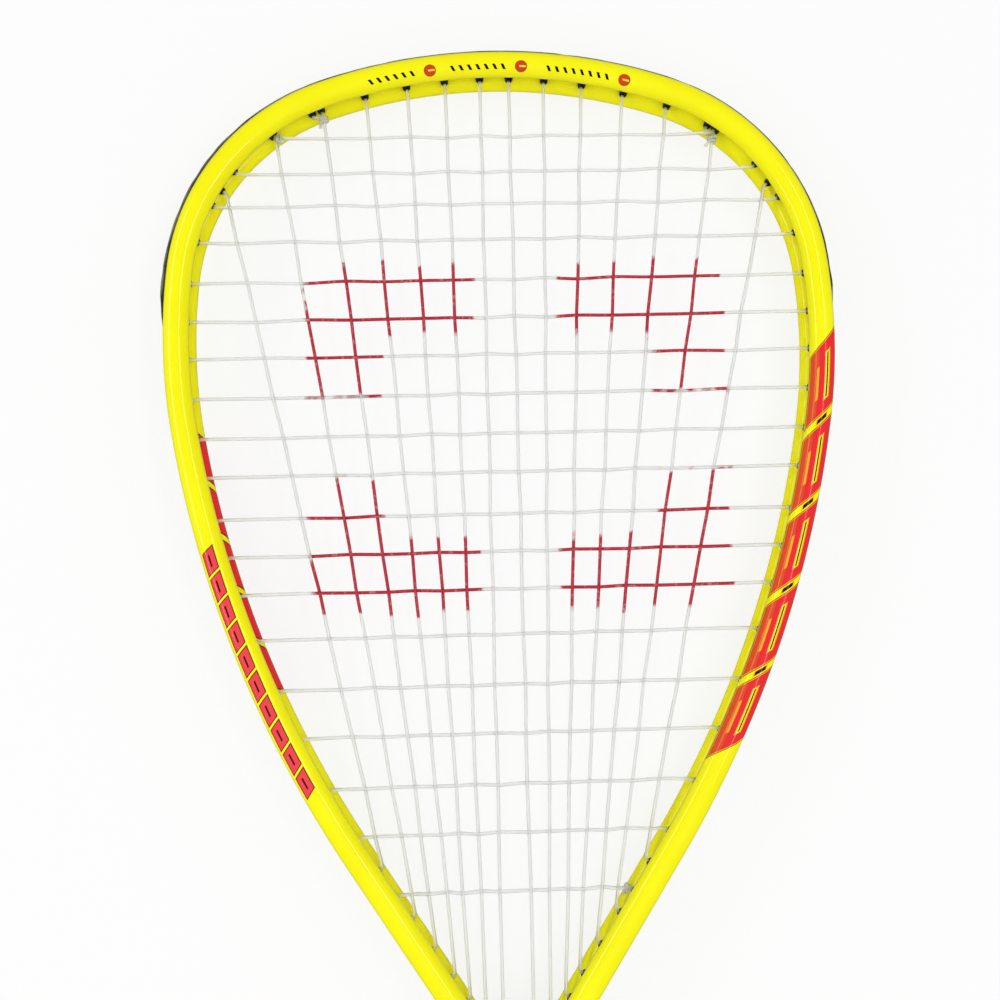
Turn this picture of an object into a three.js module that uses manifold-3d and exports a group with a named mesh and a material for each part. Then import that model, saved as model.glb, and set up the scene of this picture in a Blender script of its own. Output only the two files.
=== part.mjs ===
// Racquetball racket: a bent alloy double tube, a strung head and a wrapped octagonal handle.
// Millimetres. X is the width, Y the length with the head at +Y, Z the thickness. The strings lie level.
// The pieces are drawn in the head's frame: y = 0 at the outside top of the tube, z = 0 in the string plane.
import * as THREE from "three";
import { mergeVertices } from "three/addons/utils/BufferGeometryUtils.js";
import Module from "manifold-3d";

const wasm = await Module();
wasm.setup();

// Driving dimensions
const clearance = 0.3; // between two pieces that fit together
const overrun = 5; // how far a cutter passes the faces that it cuts
const weld = 1e-4; // points of one mesh that lie nearer than this are one point

const head = {
  width: 258.2, // across the outside of the bent tube
  arcRadiusShares: [0.82, 0.34, 0.87, 1.66], // of the width: crown, shoulder, side and flank arcs
  arcTurns: [19, 64.2, 16.2, 23.6], // degrees that each arc turns
  arcSteps: [4, 7, 3, 6],
  bendRadius: 45, // where a leg turns into the handle, on the tube's centre line
  bendSteps: 3,
  legGap: 1, // between the two legs inside the handle
  ringGap: 1.3, // least distance from a swept piece's end to its next ring
};

const tube = {
  width: 9.8, // of a lobe, seen on the face of the racket
  lobeDepth: 8.4, // of one lobe, through the thickness; the gap between the lobes takes the grommet barrels
  wall: 0.7,
  web: 1.4, // the strip that joins the lobes and takes the string holes
  lobeSteps: 10,
};

const string = {
  diameter: 1.3,
  layerGap: 0.3, // between the main strings and the cross strings
  bend: 0.9, // tangent length of a rounded corner
  bendShare: 0.33, // of the shorter stretch beside a corner, the most that its bend may take
  sharpTurn: 35, // degrees past which a corner gets two rings
  lift: 0.2, // of the loops over the groove's floor, besides the clearance
  knotRadius: 1.3,
  knotLift: 0.6, // of a knot away from the other layer
  knotDrop: 2.6, // from the string's last corner to its knot
  tieSpacing: 4, // from a string hole to the tie-off hole beside it
  knotSides: 6,
  knotRings: 4,
  longestChord: 12, // of a stretch that follows the groove
};

// Where the strings cross the head, in shares of its width. The mains fan out from the throat to the crown.
const mainTopShare = 0.2636;
const mainTopShares = [0.022, 0.071, 0.123, 0.18, 0.241, 0.311, 0.397];
const mainLowShare = 1.0376;
const mainLowShares = [0.022, 0.055, 0.0865, 0.1175, 0.151, 0.186, 0.23];
const crossShares = [
  0.1206, 0.1756, 0.2256, 0.2806, 0.3426, 0.4006, 0.4576, 0.5176, 0.5776, 0.6356,
  0.6986, 0.7546, 0.8106, 0.8776, 0.9516, 1.0226, 1.0966, 1.1666, 1.2506,
];
const yokeMains = 1; // the innermost main on each side ends on the throat yoke, the others on the legs
const leftTieMain = 4;
const rightTieMain = 5;

const barrel = {
  diameter: 3.2, // outside of a grommet barrel
  fit: 0.2, // between a barrel and its hole in the web
  reach: 3.7, // from the tube's centre line to the barrel's inner end
  mouth: 1.2, // from the barrel's end to the corner of the string
};

const guard = {
  floor: 1.3, // thickness under the strings
  channel: 4, // width of the string channel
  lip: 0.6, // how much wider the channel is at its top
  stand: 1.6, // how far the bumper stands out past the tube
  crown: 8.4, // width across the top of the crown
  shoulder: 1.5, // drop from the crown's top to its widest place
  stripSink: 0.5, // how far the side strips stay below the outside of the tube
  stripGap: 4, // between the bumper and a side strip
  stripTail: 6, // past the last hole
  flankSteps: 3, // of the sides that follow the lobes
};

const yoke = {
  setback: 4.5, // along the leg, from the last string hole
  foot: 6, // length that lies against a leg
  depth: 16, // through the thickness
  topDip: 1.5,
  lowDip: 0.5,
  bevel: 0.8,
  groove: 1.9, // depth of the string groove under it
  grooveSteps: 6,
  grooveMargin: 3,
};

const grip = {
  length: 160.75, // from the butt end to the top of the wrap
  thickness: 1.6, // of the wrap with the gap under it
};

const pallet = {
  sideWall: 4.35, // outside the legs
  faceWall: 1.8, // over the lobes, front and back
  slantWall: 1.439, // between a lobe and the octagon's slanted flat
  standout: 4, // past the top of the wrap
  rise: 11, // how far the pallets reach up the bend of the legs
  split: 0.3, // between the two halves
};

const cap = {
  plate: 4.5,
  lip: 4, // length of the widest part
  flare: 2.35, // how much the core grows towards the butt end
  taper: 18,
  length: 26,
  skirt: 1.5,
  cordHole: 4, // for the wrist cord
  cordSpacing: 10,
  seat: 0.5, // between the plate and the pallets
};

const plug = { flange: 1.5, length: 10, setback: 30 }; // the setback is measured from the butt end
const core = { endGap: 2, topGap: 4, shoulderShare: 0.35, crownShare: 0.96 };

const screw = {
  shank: 3,
  head: 6,
  headHeight: 2,
  sink: 0.6, // of the head below the pallet's side
  tipGap: 2.6, // from the tip to the far side of the handle
  places: [55, 95, 135], // from the butt end
};
const capScrew = { shank: 2.6, head: 5, headHeight: 1.2, place: 14, length: 7, sink: 0.2 };

const collar = { wall: 1.2, cover: 7.7, lip: 2.7 };
const tape = { thickness: 0.6, length: 12, gapToCollar: 2.3 };

const holeSides = 6;
const screwSides = 12;
const quarter = Math.PI / 2;

// Sizes worked out from the driving ones
const tubeHalf = tube.width / 2;
const lobeHalf = tube.lobeDepth / 2;
const webHalf = tube.web / 2;
const legX = tubeHalf + head.legGap / 2;
const stringRadius = string.diameter / 2;
const layerZ = stringRadius + string.layerGap / 2;
const mainZ = -layerZ;
const crossZ = layerZ;
const lobeMid = lobeHalf + layerZ + barrel.diameter / 2 + clearance; // the groove just takes the barrels
const mouthDepth = barrel.reach + barrel.mouth;
const channelFloor = webHalf + clearance + guard.floor;
const loopLevel = channelFloor + clearance + string.lift + stringRadius;
const tieLevel = loopLevel + string.diameter + clearance;
const boreRadius = stringRadius + clearance;
const webHoleRadius = barrel.diameter / 2 + barrel.fit;
const radians = (degrees) => (degrees * Math.PI) / 180;

// Half sizes of the grip's octagon, which takes the two legs and the walls round them
const lobeCorner = legX + lobeMid + Math.hypot(tubeHalf, lobeHalf);
const gripHalf = {
  width: legX + tubeHalf + pallet.sideWall + grip.thickness,
  depth: lobeMid + lobeHalf + pallet.faceWall + grip.thickness,
  slant: lobeCorner / Math.SQRT2 + pallet.slantWall + grip.thickness,
};

// The tube's centre line, from the top of the head down the right side to the leg's end

/** A stretch of the centre line: an arc, or a straight one where radius is 0. */
function stretch(start, length, radius, turnSign, steps) {
  return { ...start, length, radius, turnSign, steps };
}

/** Where a stretch has got to after a distance: place and heading, 0 to the right and growing downwards. */
function along(piece, distance) {
  if (!piece.radius) {
    return {
      x: piece.x + distance * Math.cos(piece.heading),
      y: piece.y - distance * Math.sin(piece.heading),
      heading: piece.heading,
    };
  }
  const heading = piece.heading + (piece.turnSign * distance) / piece.radius;
  const signedRadius = piece.turnSign * piece.radius;
  return {
    x: piece.x + signedRadius * (Math.sin(heading) - Math.sin(piece.heading)),
    y: piece.y + signedRadius * (Math.cos(heading) - Math.cos(piece.heading)),
    heading,
  };
}

/** The stretches of the centre line, with the heights that the legs give the handle. */
function layRim() {
  const pieces = [];
  let end = { x: 0, y: -tubeHalf, heading: 0 };
  const add = (length, radius, turnSign, steps) => {
    pieces.push(stretch(end, length, radius, turnSign, steps));
    end = along(pieces.at(-1), length);
  };
  head.arcRadiusShares.forEach((share, i) => {
    const radius = share * head.width - tubeHalf;
    add(radius * radians(head.arcTurns[i]), radius, 1, head.arcSteps[i]);
  });
  const bendTurn = end.heading - quarter;
  const bendStartX = legX + head.bendRadius * (1 - Math.cos(bendTurn));
  add((end.x - bendStartX) / Math.sin(bendTurn), 0, 0, 1);
  add(head.bendRadius * bendTurn, head.bendRadius, -1, head.bendSteps);
  const palletTop = end.y + pallet.rise;
  const butt = palletTop - pallet.standout - grip.length;
  add(end.y - butt - plug.setback, 0, 0, 1);
  return { pieces, palletTop, butt };
}

const rim = layRim();
const buttY = rim.butt;
const rimLength = rim.pieces.reduce((sum, piece) => sum + piece.length, 0);

const pieceStarts = rim.pieces.map((_, i) =>
  rim.pieces.slice(0, i).reduce((sum, piece) => sum + piece.length, 0),
);

/** Place and heading at a station, the distance from the top; negative on the left side. */
function rimAt(station) {
  const distance = Math.abs(station);
  const index = pieceStarts.findLastIndex((start) => start <= distance);
  const at = along(rim.pieces[index], distance - pieceStarts[index]);
  const side = Math.sign(station) || 1;
  return { x: side * at.x, y: at.y, heading: side * at.heading };
}

/** A point beside the centre line; out is positive away from the strings. */
function rimPoint(station, out, z) {
  const at = rimAt(station);
  return new THREE.Vector3(at.x + out * Math.sin(at.heading), at.y + out * Math.cos(at.heading), z);
}

const sidePiece = 2; // the arc on which the head is widest
const legPiece = head.arcTurns.length;
const legStart = pieceStarts[legPiece];
const bendStart = pieceStarts[legPiece + 1];
const handleStart = pieceStarts[legPiece + 2];

/** Station on the right side where the head is widest. */
const wideStation =
  pieceStarts[sidePiece] + rim.pieces[sidePiece].radius * (quarter - rim.pieces[sidePiece].heading);

/** Stations of the tube's rings, from one to another, both positive, smaller first. */
function ringsBetween(from, to) {
  const all = rim.pieces.flatMap((piece, i) =>
    Array.from({ length: piece.steps }, (_, k) => pieceStarts[i] + (piece.length * k) / piece.steps),
  );
  const inside = all.filter((s) => s > from + head.ringGap && s < to - head.ringGap);
  return [from, ...inside, to];
}

const halvings = 50;

/** Finds where a function changes sign between two values. */
function bisect(f, low, high) {
  const sign = Math.sign(f(low));
  let [a, b] = [low, high];
  for (let i = 0; i < halvings; i += 1) {
    const middle = (a + b) / 2;
    if (Math.sign(f(middle)) === sign) a = middle;
    else b = middle;
  }
  return (a + b) / 2;
}

/** Distance of main string number i from the middle line at a height y. */
function mainX(i, y) {
  const share = (-y / head.width - mainTopShare) / (mainLowShare - mainTopShare);
  return head.width * THREE.MathUtils.lerp(mainTopShares[i], mainLowShares[i], share);
}

const missMain = (i) => (station) => {
  const mouth = rimPoint(station, -mouthDepth, 0);
  return mouth.x - mainX(i, mouth.y);
};
const missCross = (i) => (station) =>
  rimPoint(station, -mouthDepth, 0).y + crossShares[i] * head.width;

const mainTops = mainTopShares.map((_, i) => bisect(missMain(i), 0, wideStation));
const mainLows = mainTopShares.map((_, i) =>
  i < yokeMains ? null : bisect(missMain(i), wideStation, bendStart),
);
const crossEnds = crossShares.map((_, i) => bisect(missCross(i), 0, bendStart));
const leftTie = -(mainTops[leftTieMain] + string.tieSpacing);
const rightTie = mainTops[rightTieMain] - string.tieSpacing;

// Solids from shapes

/** Turns a closed three.js geometry into a solid that can be joined and cut. */
function solid(geometry) {
  const bare = geometry.clone();
  bare.deleteAttribute("normal");
  bare.deleteAttribute("uv");
  const merged = mergeVertices(bare, weld);
  return new wasm.Manifold(
    new wasm.Mesh({
      numProp: 3,
      vertProperties: merged.attributes.position.array,
      triVerts: new Uint32Array(merged.index.array),
    }),
  );
}

function joined(solids) {
  return solids.reduce((sum, next) => sum.add(next));
}

/** A path through given points. Each ring stands square to the mean of its two neighbours. */
class StationPath extends THREE.Curve {
  constructor(points) {
    super();
    this.points = points;
    const steps = points.slice(1).map((p, i) => p.clone().sub(points[i]).normalize());
    this.tangents = points.map((_, i) =>
      steps[Math.max(i - 1, 0)].clone().add(steps[Math.min(i, steps.length - 1)]).normalize(),
    );
  }

  getPoint(t) {
    return this.points[Math.round(t * (this.points.length - 1))].clone();
  }

  getSpacedPoints() {
    return this.points.map((p) => p.clone());
  }

  getTangentAt(u) {
    return this.tangents[Math.round(u * (this.points.length - 1))].clone();
  }
}

function sweep(shape, points) {
  const settings = { steps: points.length - 1, extrudePath: new StationPath(points) };
  return solid(new THREE.ExtrudeGeometry(shape, settings));
}

/** A shape swept along the tube's centre line between two stations; it runs towards the left side. */
function sweepRim(shape, from, to) {
  const side = Math.sign(from);
  const stations =
    Math.sign(to) === side
      ? ringsBetween(Math.min(Math.abs(from), Math.abs(to)), Math.max(Math.abs(from), Math.abs(to)))
          .map((s) => side * s)
          .sort((a, b) => b - a)
      : [...ringsBetween(0, from).reverse(), ...ringsBetween(0, -to).slice(1).map((s) => -s)];
  return sweep(shape, stations.map((s) => rimPoint(s, 0, 0)));
}

/** A shape drawn across the handle, x and z, made solid from one y to a higher one. */
function extrudeY(shape, low, high) {
  const geometry = new THREE.ExtrudeGeometry(shape, { depth: high - low, bevelEnabled: false });
  return solid(geometry.rotateX(quarter).translate(0, high, 0));
}

/** A round bar along the tube's outward direction at a station. */
function barAt(station, radius, outLow, outHigh, z, sides) {
  const bar = new THREE.CylinderGeometry(radius, radius, outHigh - outLow, sides);
  const middle = rimPoint(station, (outLow + outHigh) / 2, z);
  return solid(bar.rotateZ(-rimAt(station).heading).translate(middle.x, middle.y, middle.z));
}

/** A round bar along X. */
function barX(radius, low, high, y, sides) {
  const bar = new THREE.CylinderGeometry(radius, radius, high - low, sides);
  return solid(bar.rotateZ(quarter).translate((low + high) / 2, y, 0));
}

const shapeOf = (points) => new THREE.Shape(points.map(([x, y]) => new THREE.Vector2(x, y)));

/** The points of an ellipse inside a lobe. */
function lobeRing(middle, halfWidth, halfDepth) {
  return Array.from({ length: tube.lobeSteps }, (_, k) => {
    const angle = (2 * Math.PI * k) / tube.lobeSteps;
    return [middle + halfDepth * Math.cos(angle), halfWidth * Math.sin(angle)];
  });
}

/** The double tube's outline, grown by a margin: two lobes joined by the web. */
function tubeOutline(margin) {
  const halfWidth = tubeHalf + margin;
  const halfDepth = lobeHalf + margin;
  const first = Math.asin((webHalf + margin) / halfWidth);
  const lobe = Array.from({ length: tube.lobeSteps + 1 }, (_, k) => {
    const angle = first + ((2 * Math.PI - 2 * first) * k) / tube.lobeSteps;
    return [lobeMid - halfDepth * Math.cos(angle), halfWidth * Math.sin(angle)];
  });
  return [...lobe, ...lobe.map(([z, w]) => [-z, -w])];
}

/** Half the gap between the lobes, less the clearance, at a distance from the web's middle. */
function grooveHalf(out) {
  const reach = Math.min(out / (tubeHalf + clearance), 1);
  return lobeMid - (lobeHalf + clearance) * Math.sqrt(1 - reach * reach);
}

/** A shape for the outer groove from its right half; its points are z and the distance outwards. */
function grooveShape(half) {
  const right = half.map(([z, out]) => [z, -out]);
  return shapeOf([...right, ...right.map(([z, out]) => [-z, out]).reverse()]);
}

/** An octagon, x and z, grown by a margin; it starts at a given x when only its right half is wanted. */
function octagon(margin, splitX) {
  const a = gripHalf.width + margin;
  const b = gripHalf.depth + margin;
  const d = (gripHalf.slant + margin) * Math.SQRT2;
  const right = [[d - b, -b], [a, a - d], [a, d - a], [d - b, b]];
  if (splitX !== undefined) return shapeOf([[splitX, -b], ...right, [splitX, b]]);
  return shapeOf([...right, ...right.map(([x, z]) => [-x, z]).reverse()]);
}

// The frame: one bent double tube with its string and screw holes

const palletMargin = -grip.thickness;
const legEnd = buttY + plug.setback;

function frameTube() {
  const section = shapeOf(tubeOutline(0));
  for (const middle of [lobeMid, -lobeMid]) {
    const bore = lobeRing(middle, tubeHalf - tube.wall, lobeHalf - tube.wall);
    section.holes.push(new THREE.Path(bore.map(([z, w]) => new THREE.Vector2(z, w))));
  }
  return sweepRim(section, rimLength, -rimLength);
}

const mainHoles = [
  ...mainTops.flatMap((s) => [s, -s]),
  ...mainLows.filter((s) => s !== null).flatMap((s) => [s, -s]),
  leftTie,
  rightTie,
].map((station) => ({ station, z: mainZ }));
const crossHoles = crossEnds.flatMap((s) => [s, -s]).map((station) => ({ station, z: crossZ }));
const holes = [...mainHoles, ...crossHoles];

const legCut = shapeOf(tubeOutline(clearance)); // the space that the tube needs in what lies round it

const yokeStart = mainLows[yokeMains] + yoke.setback;
const yokeEnd = yokeStart + yoke.foot;
const bothSides = [1, -1];

const frameCuts = joined([
  ...holes.map((h) => barAt(h.station, webHoleRadius, -tubeHalf, tubeHalf, h.z, holeSides)),
  ...screw.places.map((place) =>
    barX(screw.shank / 2 + clearance, -legX - tubeHalf, legX + tubeHalf, buttY + place, holeSides),
  ),
]);

// The bumper guard over the head and the grommet strips down its sides

const bumperCrown = tubeHalf + guard.stand;
const stripTop = tubeHalf - guard.stripSink;
const channelTop = guard.channel / 2 + guard.lip;

/** Section points up the side of the groove, from the web to a height. */
function grooveFlank(top) {
  return Array.from({ length: guard.flankSteps + 1 }, (_, k) => {
    const out = THREE.MathUtils.lerp(webHalf + clearance, top, k / guard.flankSteps);
    return [grooveHalf(out), out];
  });
}

const bumperSection = grooveShape([
  ...grooveFlank(tubeHalf),
  [guard.crown / 2 + guard.shoulder, bumperCrown - guard.shoulder],
  [guard.crown / 2, bumperCrown],
  [channelTop, bumperCrown],
  [guard.channel / 2, channelFloor],
]);
const stripSection = grooveShape([
  ...grooveFlank(stripTop),
  [channelTop, stripTop],
  [guard.channel / 2, channelFloor],
]);

/** A groove strip from one station to another, with a grommet barrel at each hole in between. */
function grommetStrip(section, from, to) {
  const own = holes.filter((h) => h.station < from && h.station > to);
  const root = (webHalf + clearance + channelFloor) / 2;
  const barrels = own.map((h) =>
    barAt(h.station, barrel.diameter / 2, -barrel.reach, root, h.z, holeSides),
  );
  const bores = own.map((h) =>
    barAt(h.station, boreRadius, -barrel.reach - overrun, channelFloor + clearance, h.z, holeSides),
  );
  return joined([sweepRim(section, from, to), ...barrels]).subtract(joined(bores));
}

const stripFrom = wideStation + guard.stripGap;
const stripTo = mainLows[yokeMains] + guard.stripTail;

// The throat yoke between the legs, with the string groove under it

/** The y of an arc that hangs between two points, one on each side of the middle line. */
function hangingArc(corner, dip) {
  const radius = (corner.x * corner.x + dip * dip) / (2 * dip);
  const middle = corner.y - dip + radius;
  return (x) => middle - Math.sqrt(radius * radius - x * x);
}

const yokeFace = -(tubeHalf + clearance);
const yokeTopCorner = rimPoint(yokeStart, yokeFace, 0);
const yokeLowCorner = rimPoint(yokeEnd, yokeFace, 0);
const yokeTop = hangingArc(yokeTopCorner, yoke.topDip);
const yokeLow = hangingArc(yokeLowCorner, yoke.lowDip);
const yokeMainX = mainTopShares
  .slice(0, yokeMains)
  .map((_, i) =>
    bisect((x) => x - mainX(i, yokeTop(x) + barrel.mouth), 0, yokeTopCorner.x),
  );

/** Points of an arc from one x to another. */
const arcPoints = (arc, from, to, rise) =>
  Array.from({ length: yoke.grooveSteps + 1 }, (_, k) => {
    const x = THREE.MathUtils.lerp(from, to, k / yoke.grooveSteps);
    return [x, arc(x) + rise];
  });

function extrudeZ(points, depth, bevel) {
  const settings = {
    depth: depth - 2 * bevel,
    bevelEnabled: bevel > 0,
    bevelThickness: bevel,
    bevelSize: bevel,
    bevelOffset: -bevel,
    bevelSegments: 1,
  };
  const geometry = new THREE.ExtrudeGeometry(shapeOf(points), settings);
  return solid(geometry.translate(0, 0, bevel - depth / 2));
}

function throatYoke() {
  const root = -(webHalf + clearance);
  const rootTop = rimPoint(yokeStart, root, 0);
  const rootLow = rimPoint(yokeEnd, root, 0);
  const body = extrudeZ(
    [
      ...arcPoints(yokeTop, yokeTopCorner.x, -yokeTopCorner.x, 0),
      [-rootTop.x, rootTop.y],
      [-rootLow.x, rootLow.y],
      ...arcPoints(yokeLow, -yokeLowCorner.x, yokeLowCorner.x, 0),
      [rootLow.x, rootLow.y],
      [rootTop.x, rootTop.y],
    ],
    yoke.depth,
    yoke.bevel,
  );
  const grooveReach = yokeMainX.at(-1) + yoke.grooveMargin;
  const groove = extrudeZ(
    [
      ...arcPoints(yokeLow, grooveReach, -grooveReach, yoke.groove),
      ...arcPoints(yokeLow, -grooveReach, grooveReach, -overrun),
    ],
    guard.channel,
    0,
  );
  const legs = bothSides.map((side) =>
    side > 0
      ? sweepRim(legCut, yokeEnd + yoke.foot, legStart)
      : sweepRim(legCut, -legStart, -(yokeEnd + yoke.foot)),
  );
  const drill = yokeMainX.flatMap((x) => [x, -x]).map((x) => {
    const bar = new THREE.CylinderGeometry(boreRadius, boreRadius, 2 * yoke.foot, holeSides);
    return solid(bar.translate(x, yokeTop(x), mainZ));
  });
  return body.subtract(joined([groove, ...legs, ...drill]));
}

// The strings: two unbroken lengths in two layers, each looping round through the outer groove

/** Rounds the corners of a route: a sharp one gets two rings, a slight one keeps one. */
function roundCorners(corners) {
  const points = [corners[0]];
  for (let i = 1; i < corners.length - 1; i += 1) {
    const before = corners[i].clone().sub(corners[i - 1]);
    const after = corners[i + 1].clone().sub(corners[i]);
    const shorter = Math.min(before.length(), after.length());
    const cut = Math.min(string.bend, shorter * string.bendShare);
    if (before.angleTo(after) < radians(string.sharpTurn)) points.push(corners[i]);
    else {
      points.push(corners[i].clone().addScaledVector(before.normalize(), -cut));
      points.push(corners[i].clone().addScaledVector(after.normalize(), cut));
    }
  }
  return [...points, corners.at(-1)];
}

const hexagon = shapeOf(
  Array.from({ length: holeSides }, (_, k) => {
    const angle = (2 * Math.PI * k) / holeSides;
    return [stringRadius * Math.cos(angle), stringRadius * Math.sin(angle)];
  }),
);

/** The stretch through the groove from one hole to the next, from inside to inside. */
function grooveLoop(from, to, level, z) {
  const parts = Math.ceil(Math.abs(to - from) / string.longestChord);
  const middle = Array.from({ length: parts + 1 }, (_, k) =>
    rimPoint(THREE.MathUtils.lerp(from, to, k / parts), level, z),
  );
  return [rimPoint(from, -mouthDepth, z), ...middle, rimPoint(to, -mouthDepth, z)];
}

/** The stretch under the throat yoke from one main to the next. */
function yokeLoop(from, to) {
  const level = yokeLow(0) + yoke.groove - clearance - stringRadius;
  return [
    new THREE.Vector3(from, yokeTop(from) + barrel.mouth, mainZ),
    new THREE.Vector3(from, level, mainZ),
    new THREE.Vector3(to, level, mainZ),
    new THREE.Vector3(to, yokeTop(to) + barrel.mouth, mainZ),
  ];
}

function knotAt(mouth, towards) {
  const step = towards.clone().sub(mouth).normalize();
  return mouth.clone().addScaledVector(step, string.knotDrop);
}

/** The tied end of a string beside the knot on another run. */
function tail(tieStation, knot) {
  const mouth = rimPoint(tieStation, -mouthDepth, mainZ);
  const step = mouth.clone().sub(knot).normalize();
  return knot.clone().addScaledVector(step, string.diameter);
}

/** A knot on a string, standing away from the other layer. */
const bead = (place) => {
  const ball = new THREE.SphereGeometry(string.knotRadius, string.knotSides, string.knotRings);
  const z = place.z + Math.sign(place.z) * string.knotLift;
  return solid(ball.translate(place.x, place.y, z));
};

const mainCount = mainTopShares.length;
// The mains from left to right: their number from the middle, and their side
const mains = Array.from({ length: 2 * mainCount }, (_, k) =>
  k < mainCount ? { i: mainCount - 1 - k, side: -1 } : { i: k - mainCount, side: 1 },
);

function mainLoop(a, b, atTop) {
  if (atTop) return grooveLoop(a.side * mainTops[a.i], b.side * mainTops[b.i], loopLevel, mainZ);
  if (a.i < yokeMains) return yokeLoop(a.side * yokeMainX[a.i], b.side * yokeMainX[b.i]);
  return grooveLoop(a.side * mainLows[a.i], b.side * mainLows[b.i], loopLevel, mainZ);
}

/** Where the knot on a main sits, close under the crown. */
function mainKnot(i, side) {
  const station = side * mainTops[i];
  const mouth = rimPoint(station, -mouthDepth, mainZ);
  const lower = mouth.y - string.knotDrop;
  return knotAt(mouth, new THREE.Vector3(side * mainX(i, lower), lower, mainZ));
}

/** The string that runs up and down, tied off near the crown on both sides. */
function mainString() {
  const leftKnot = mainKnot(leftTieMain, -1);
  const rightKnot = mainKnot(rightTieMain, 1);
  const outer = mainTops.at(-1);
  const route = [tail(leftTie, leftKnot), ...grooveLoop(leftTie, -outer, tieLevel, mainZ)];
  mains.slice(1).forEach((main, k) => {
    route.push(...mainLoop(mains[k], main, k % 2 === 1));
  });
  route.push(...grooveLoop(outer, rightTie, tieLevel, mainZ), tail(rightTie, rightKnot));
  return joined([sweep(hexagon, roundCorners(route)), bead(leftKnot), bead(rightKnot)]);
}

/** The string that runs from side to side, from the crown down to the throat. */
function crossString() {
  const first = -crossEnds[0];
  const last = crossEnds.at(-1);
  const route = [rimPoint(first, loopLevel, crossZ), rimPoint(first, -mouthDepth, crossZ)];
  crossEnds.slice(1).forEach((station, k) => {
    const side = k % 2 === 0 ? 1 : -1;
    route.push(...grooveLoop(side * crossEnds[k], side * station, loopLevel, crossZ));
  });
  route.push(rimPoint(last, -mouthDepth, crossZ), rimPoint(last, loopLevel, crossZ));
  const middle = (s) => new THREE.Vector3(0, rimPoint(s, -mouthDepth, 0).y, crossZ);
  const knots = [first, last].map((s) =>
    bead(knotAt(rimPoint(s, -mouthDepth, crossZ), middle(s))),
  );
  return joined([sweep(hexagon, roundCorners(route)), ...knots]);
}

// Inside the handle: plugs in the legs' ends, a core between the legs, and the two pallets

/** The rubber plug that closes a leg's two lobes. */
function legPlug(side) {
  const flangeTop = legEnd - clearance;
  const flangeLow = flangeTop - plug.flange;
  const outline = (points) => shapeOf(points.map(([z, w]) => [side * legX + w, z]));
  const flange = extrudeY(outline(tubeOutline(0)), flangeLow, flangeTop);
  const inset = tube.wall + clearance;
  const stubs = [lobeMid, -lobeMid].map((middle) => {
    const ring = lobeRing(middle, tubeHalf - inset, lobeHalf - inset);
    return extrudeY(outline(ring), flangeLow + plug.flange / 2, legEnd + plug.length);
  });
  return joined([flange, ...stubs]);
}

/** The slim bar between the legs, which carries the screws through the handle. */
function handleCore() {
  const half = legX - webHalf - clearance;
  const shoulder = half * core.shoulderShare;
  const low = core.crownShare * grooveHalf(webHalf + clearance);
  const high = core.crownShare * grooveHalf(legX - shoulder);
  const right = [[shoulder, -high], [half, -low], [half, low], [shoulder, high]];
  const outline = shapeOf([...right, ...right.map(([x, z]) => [-x, -z])]);
  const top = rimAt(handleStart).y - core.topGap;
  const body = extrudeY(outline, legEnd + core.endGap, top);
  const drilled = screw.places.map((place) =>
    barX(screw.shank / 2 + clearance, -half - overrun, half + overrun, buttY + place, holeSides),
  );
  return body.subtract(joined(drilled));
}

const palletHalf = gripHalf.width + palletMargin;
const headSeat = palletHalf - screw.sink - screw.headHeight;
const screwTip = screw.tipGap - palletHalf;
const capInner = palletMargin - cap.skirt;
const spigotMargin = capInner - clearance;

/** One half of the handle, drawn on the right; the left one takes the screws' tips instead of their heads. */
function palletHalfSolid(side) {
  const capTop = buttY + cap.length;
  const body = joined([
    extrudeY(octagon(palletMargin, pallet.split / 2), capTop + clearance, rim.palletTop),
    extrudeY(octagon(spigotMargin, pallet.split / 2), buttY + cap.plate + cap.seat, capTop + overrun),
  ]);
  const plugSpace = plug.flange + 2 * clearance;
  const socket = extrudeY(
    shapeOf(tubeOutline(clearance).map(([z, w]) => [legX + w, z])),
    legEnd - plugSpace,
    legEnd + plug.length,
  );
  const channelX = rimAt(rimLength - (rim.palletTop - legEnd)).x;
  const channel = extrudeY(
    shapeOf([[-overrun, -lobeMid], [channelX, -lobeMid], [channelX, lobeMid], [-overrun, lobeMid]]),
    legEnd - plugSpace,
    rim.palletTop + overrun,
  );
  const right = side > 0;
  const shankReach = right ? palletHalf + overrun : clearance - screwTip;
  const cuts = [
    sweepRim(legCut, rimLength, bendStart - overrun),
    socket,
    channel,
    ...screw.places.map((place) =>
      barX(screw.shank / 2 + clearance, -overrun, shankReach, buttY + place, holeSides),
    ),
    barX(
      capScrew.shank / 2 + clearance,
      capScrewTip - clearance,
      palletHalf + overrun,
      buttY + capScrew.place,
      holeSides,
    ),
  ];
  if (right) {
    cuts.push(
      ...screw.places.map((place) =>
        barX(
          screw.head / 2 + clearance,
          headSeat - clearance,
          palletHalf + overrun,
          buttY + place,
          screwSides,
        ),
      ),
    );
  }
  const half = body.subtract(joined(cuts));
  return right ? half : half.mirror([1, 0, 0]);
}

/** A screw along X with its head outwards; low is its tip and high the top of its head. */
function screwX(size, tip, top, y) {
  const profile = [
    [0, tip],
    [size.shank / 2, tip],
    [size.shank / 2, top - size.headHeight],
    [size.head / 2, top - size.headHeight],
    [size.head / 2, top],
    [0, top],
  ];
  const turned = new THREE.LatheGeometry(profile.map(([r, h]) => new THREE.Vector2(r, h)), screwSides);
  return solid(turned.rotateZ(-quarter).translate(0, y, 0));
}

// The butt cap, its screws, the wrap and what holds the wrap's top end

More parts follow.
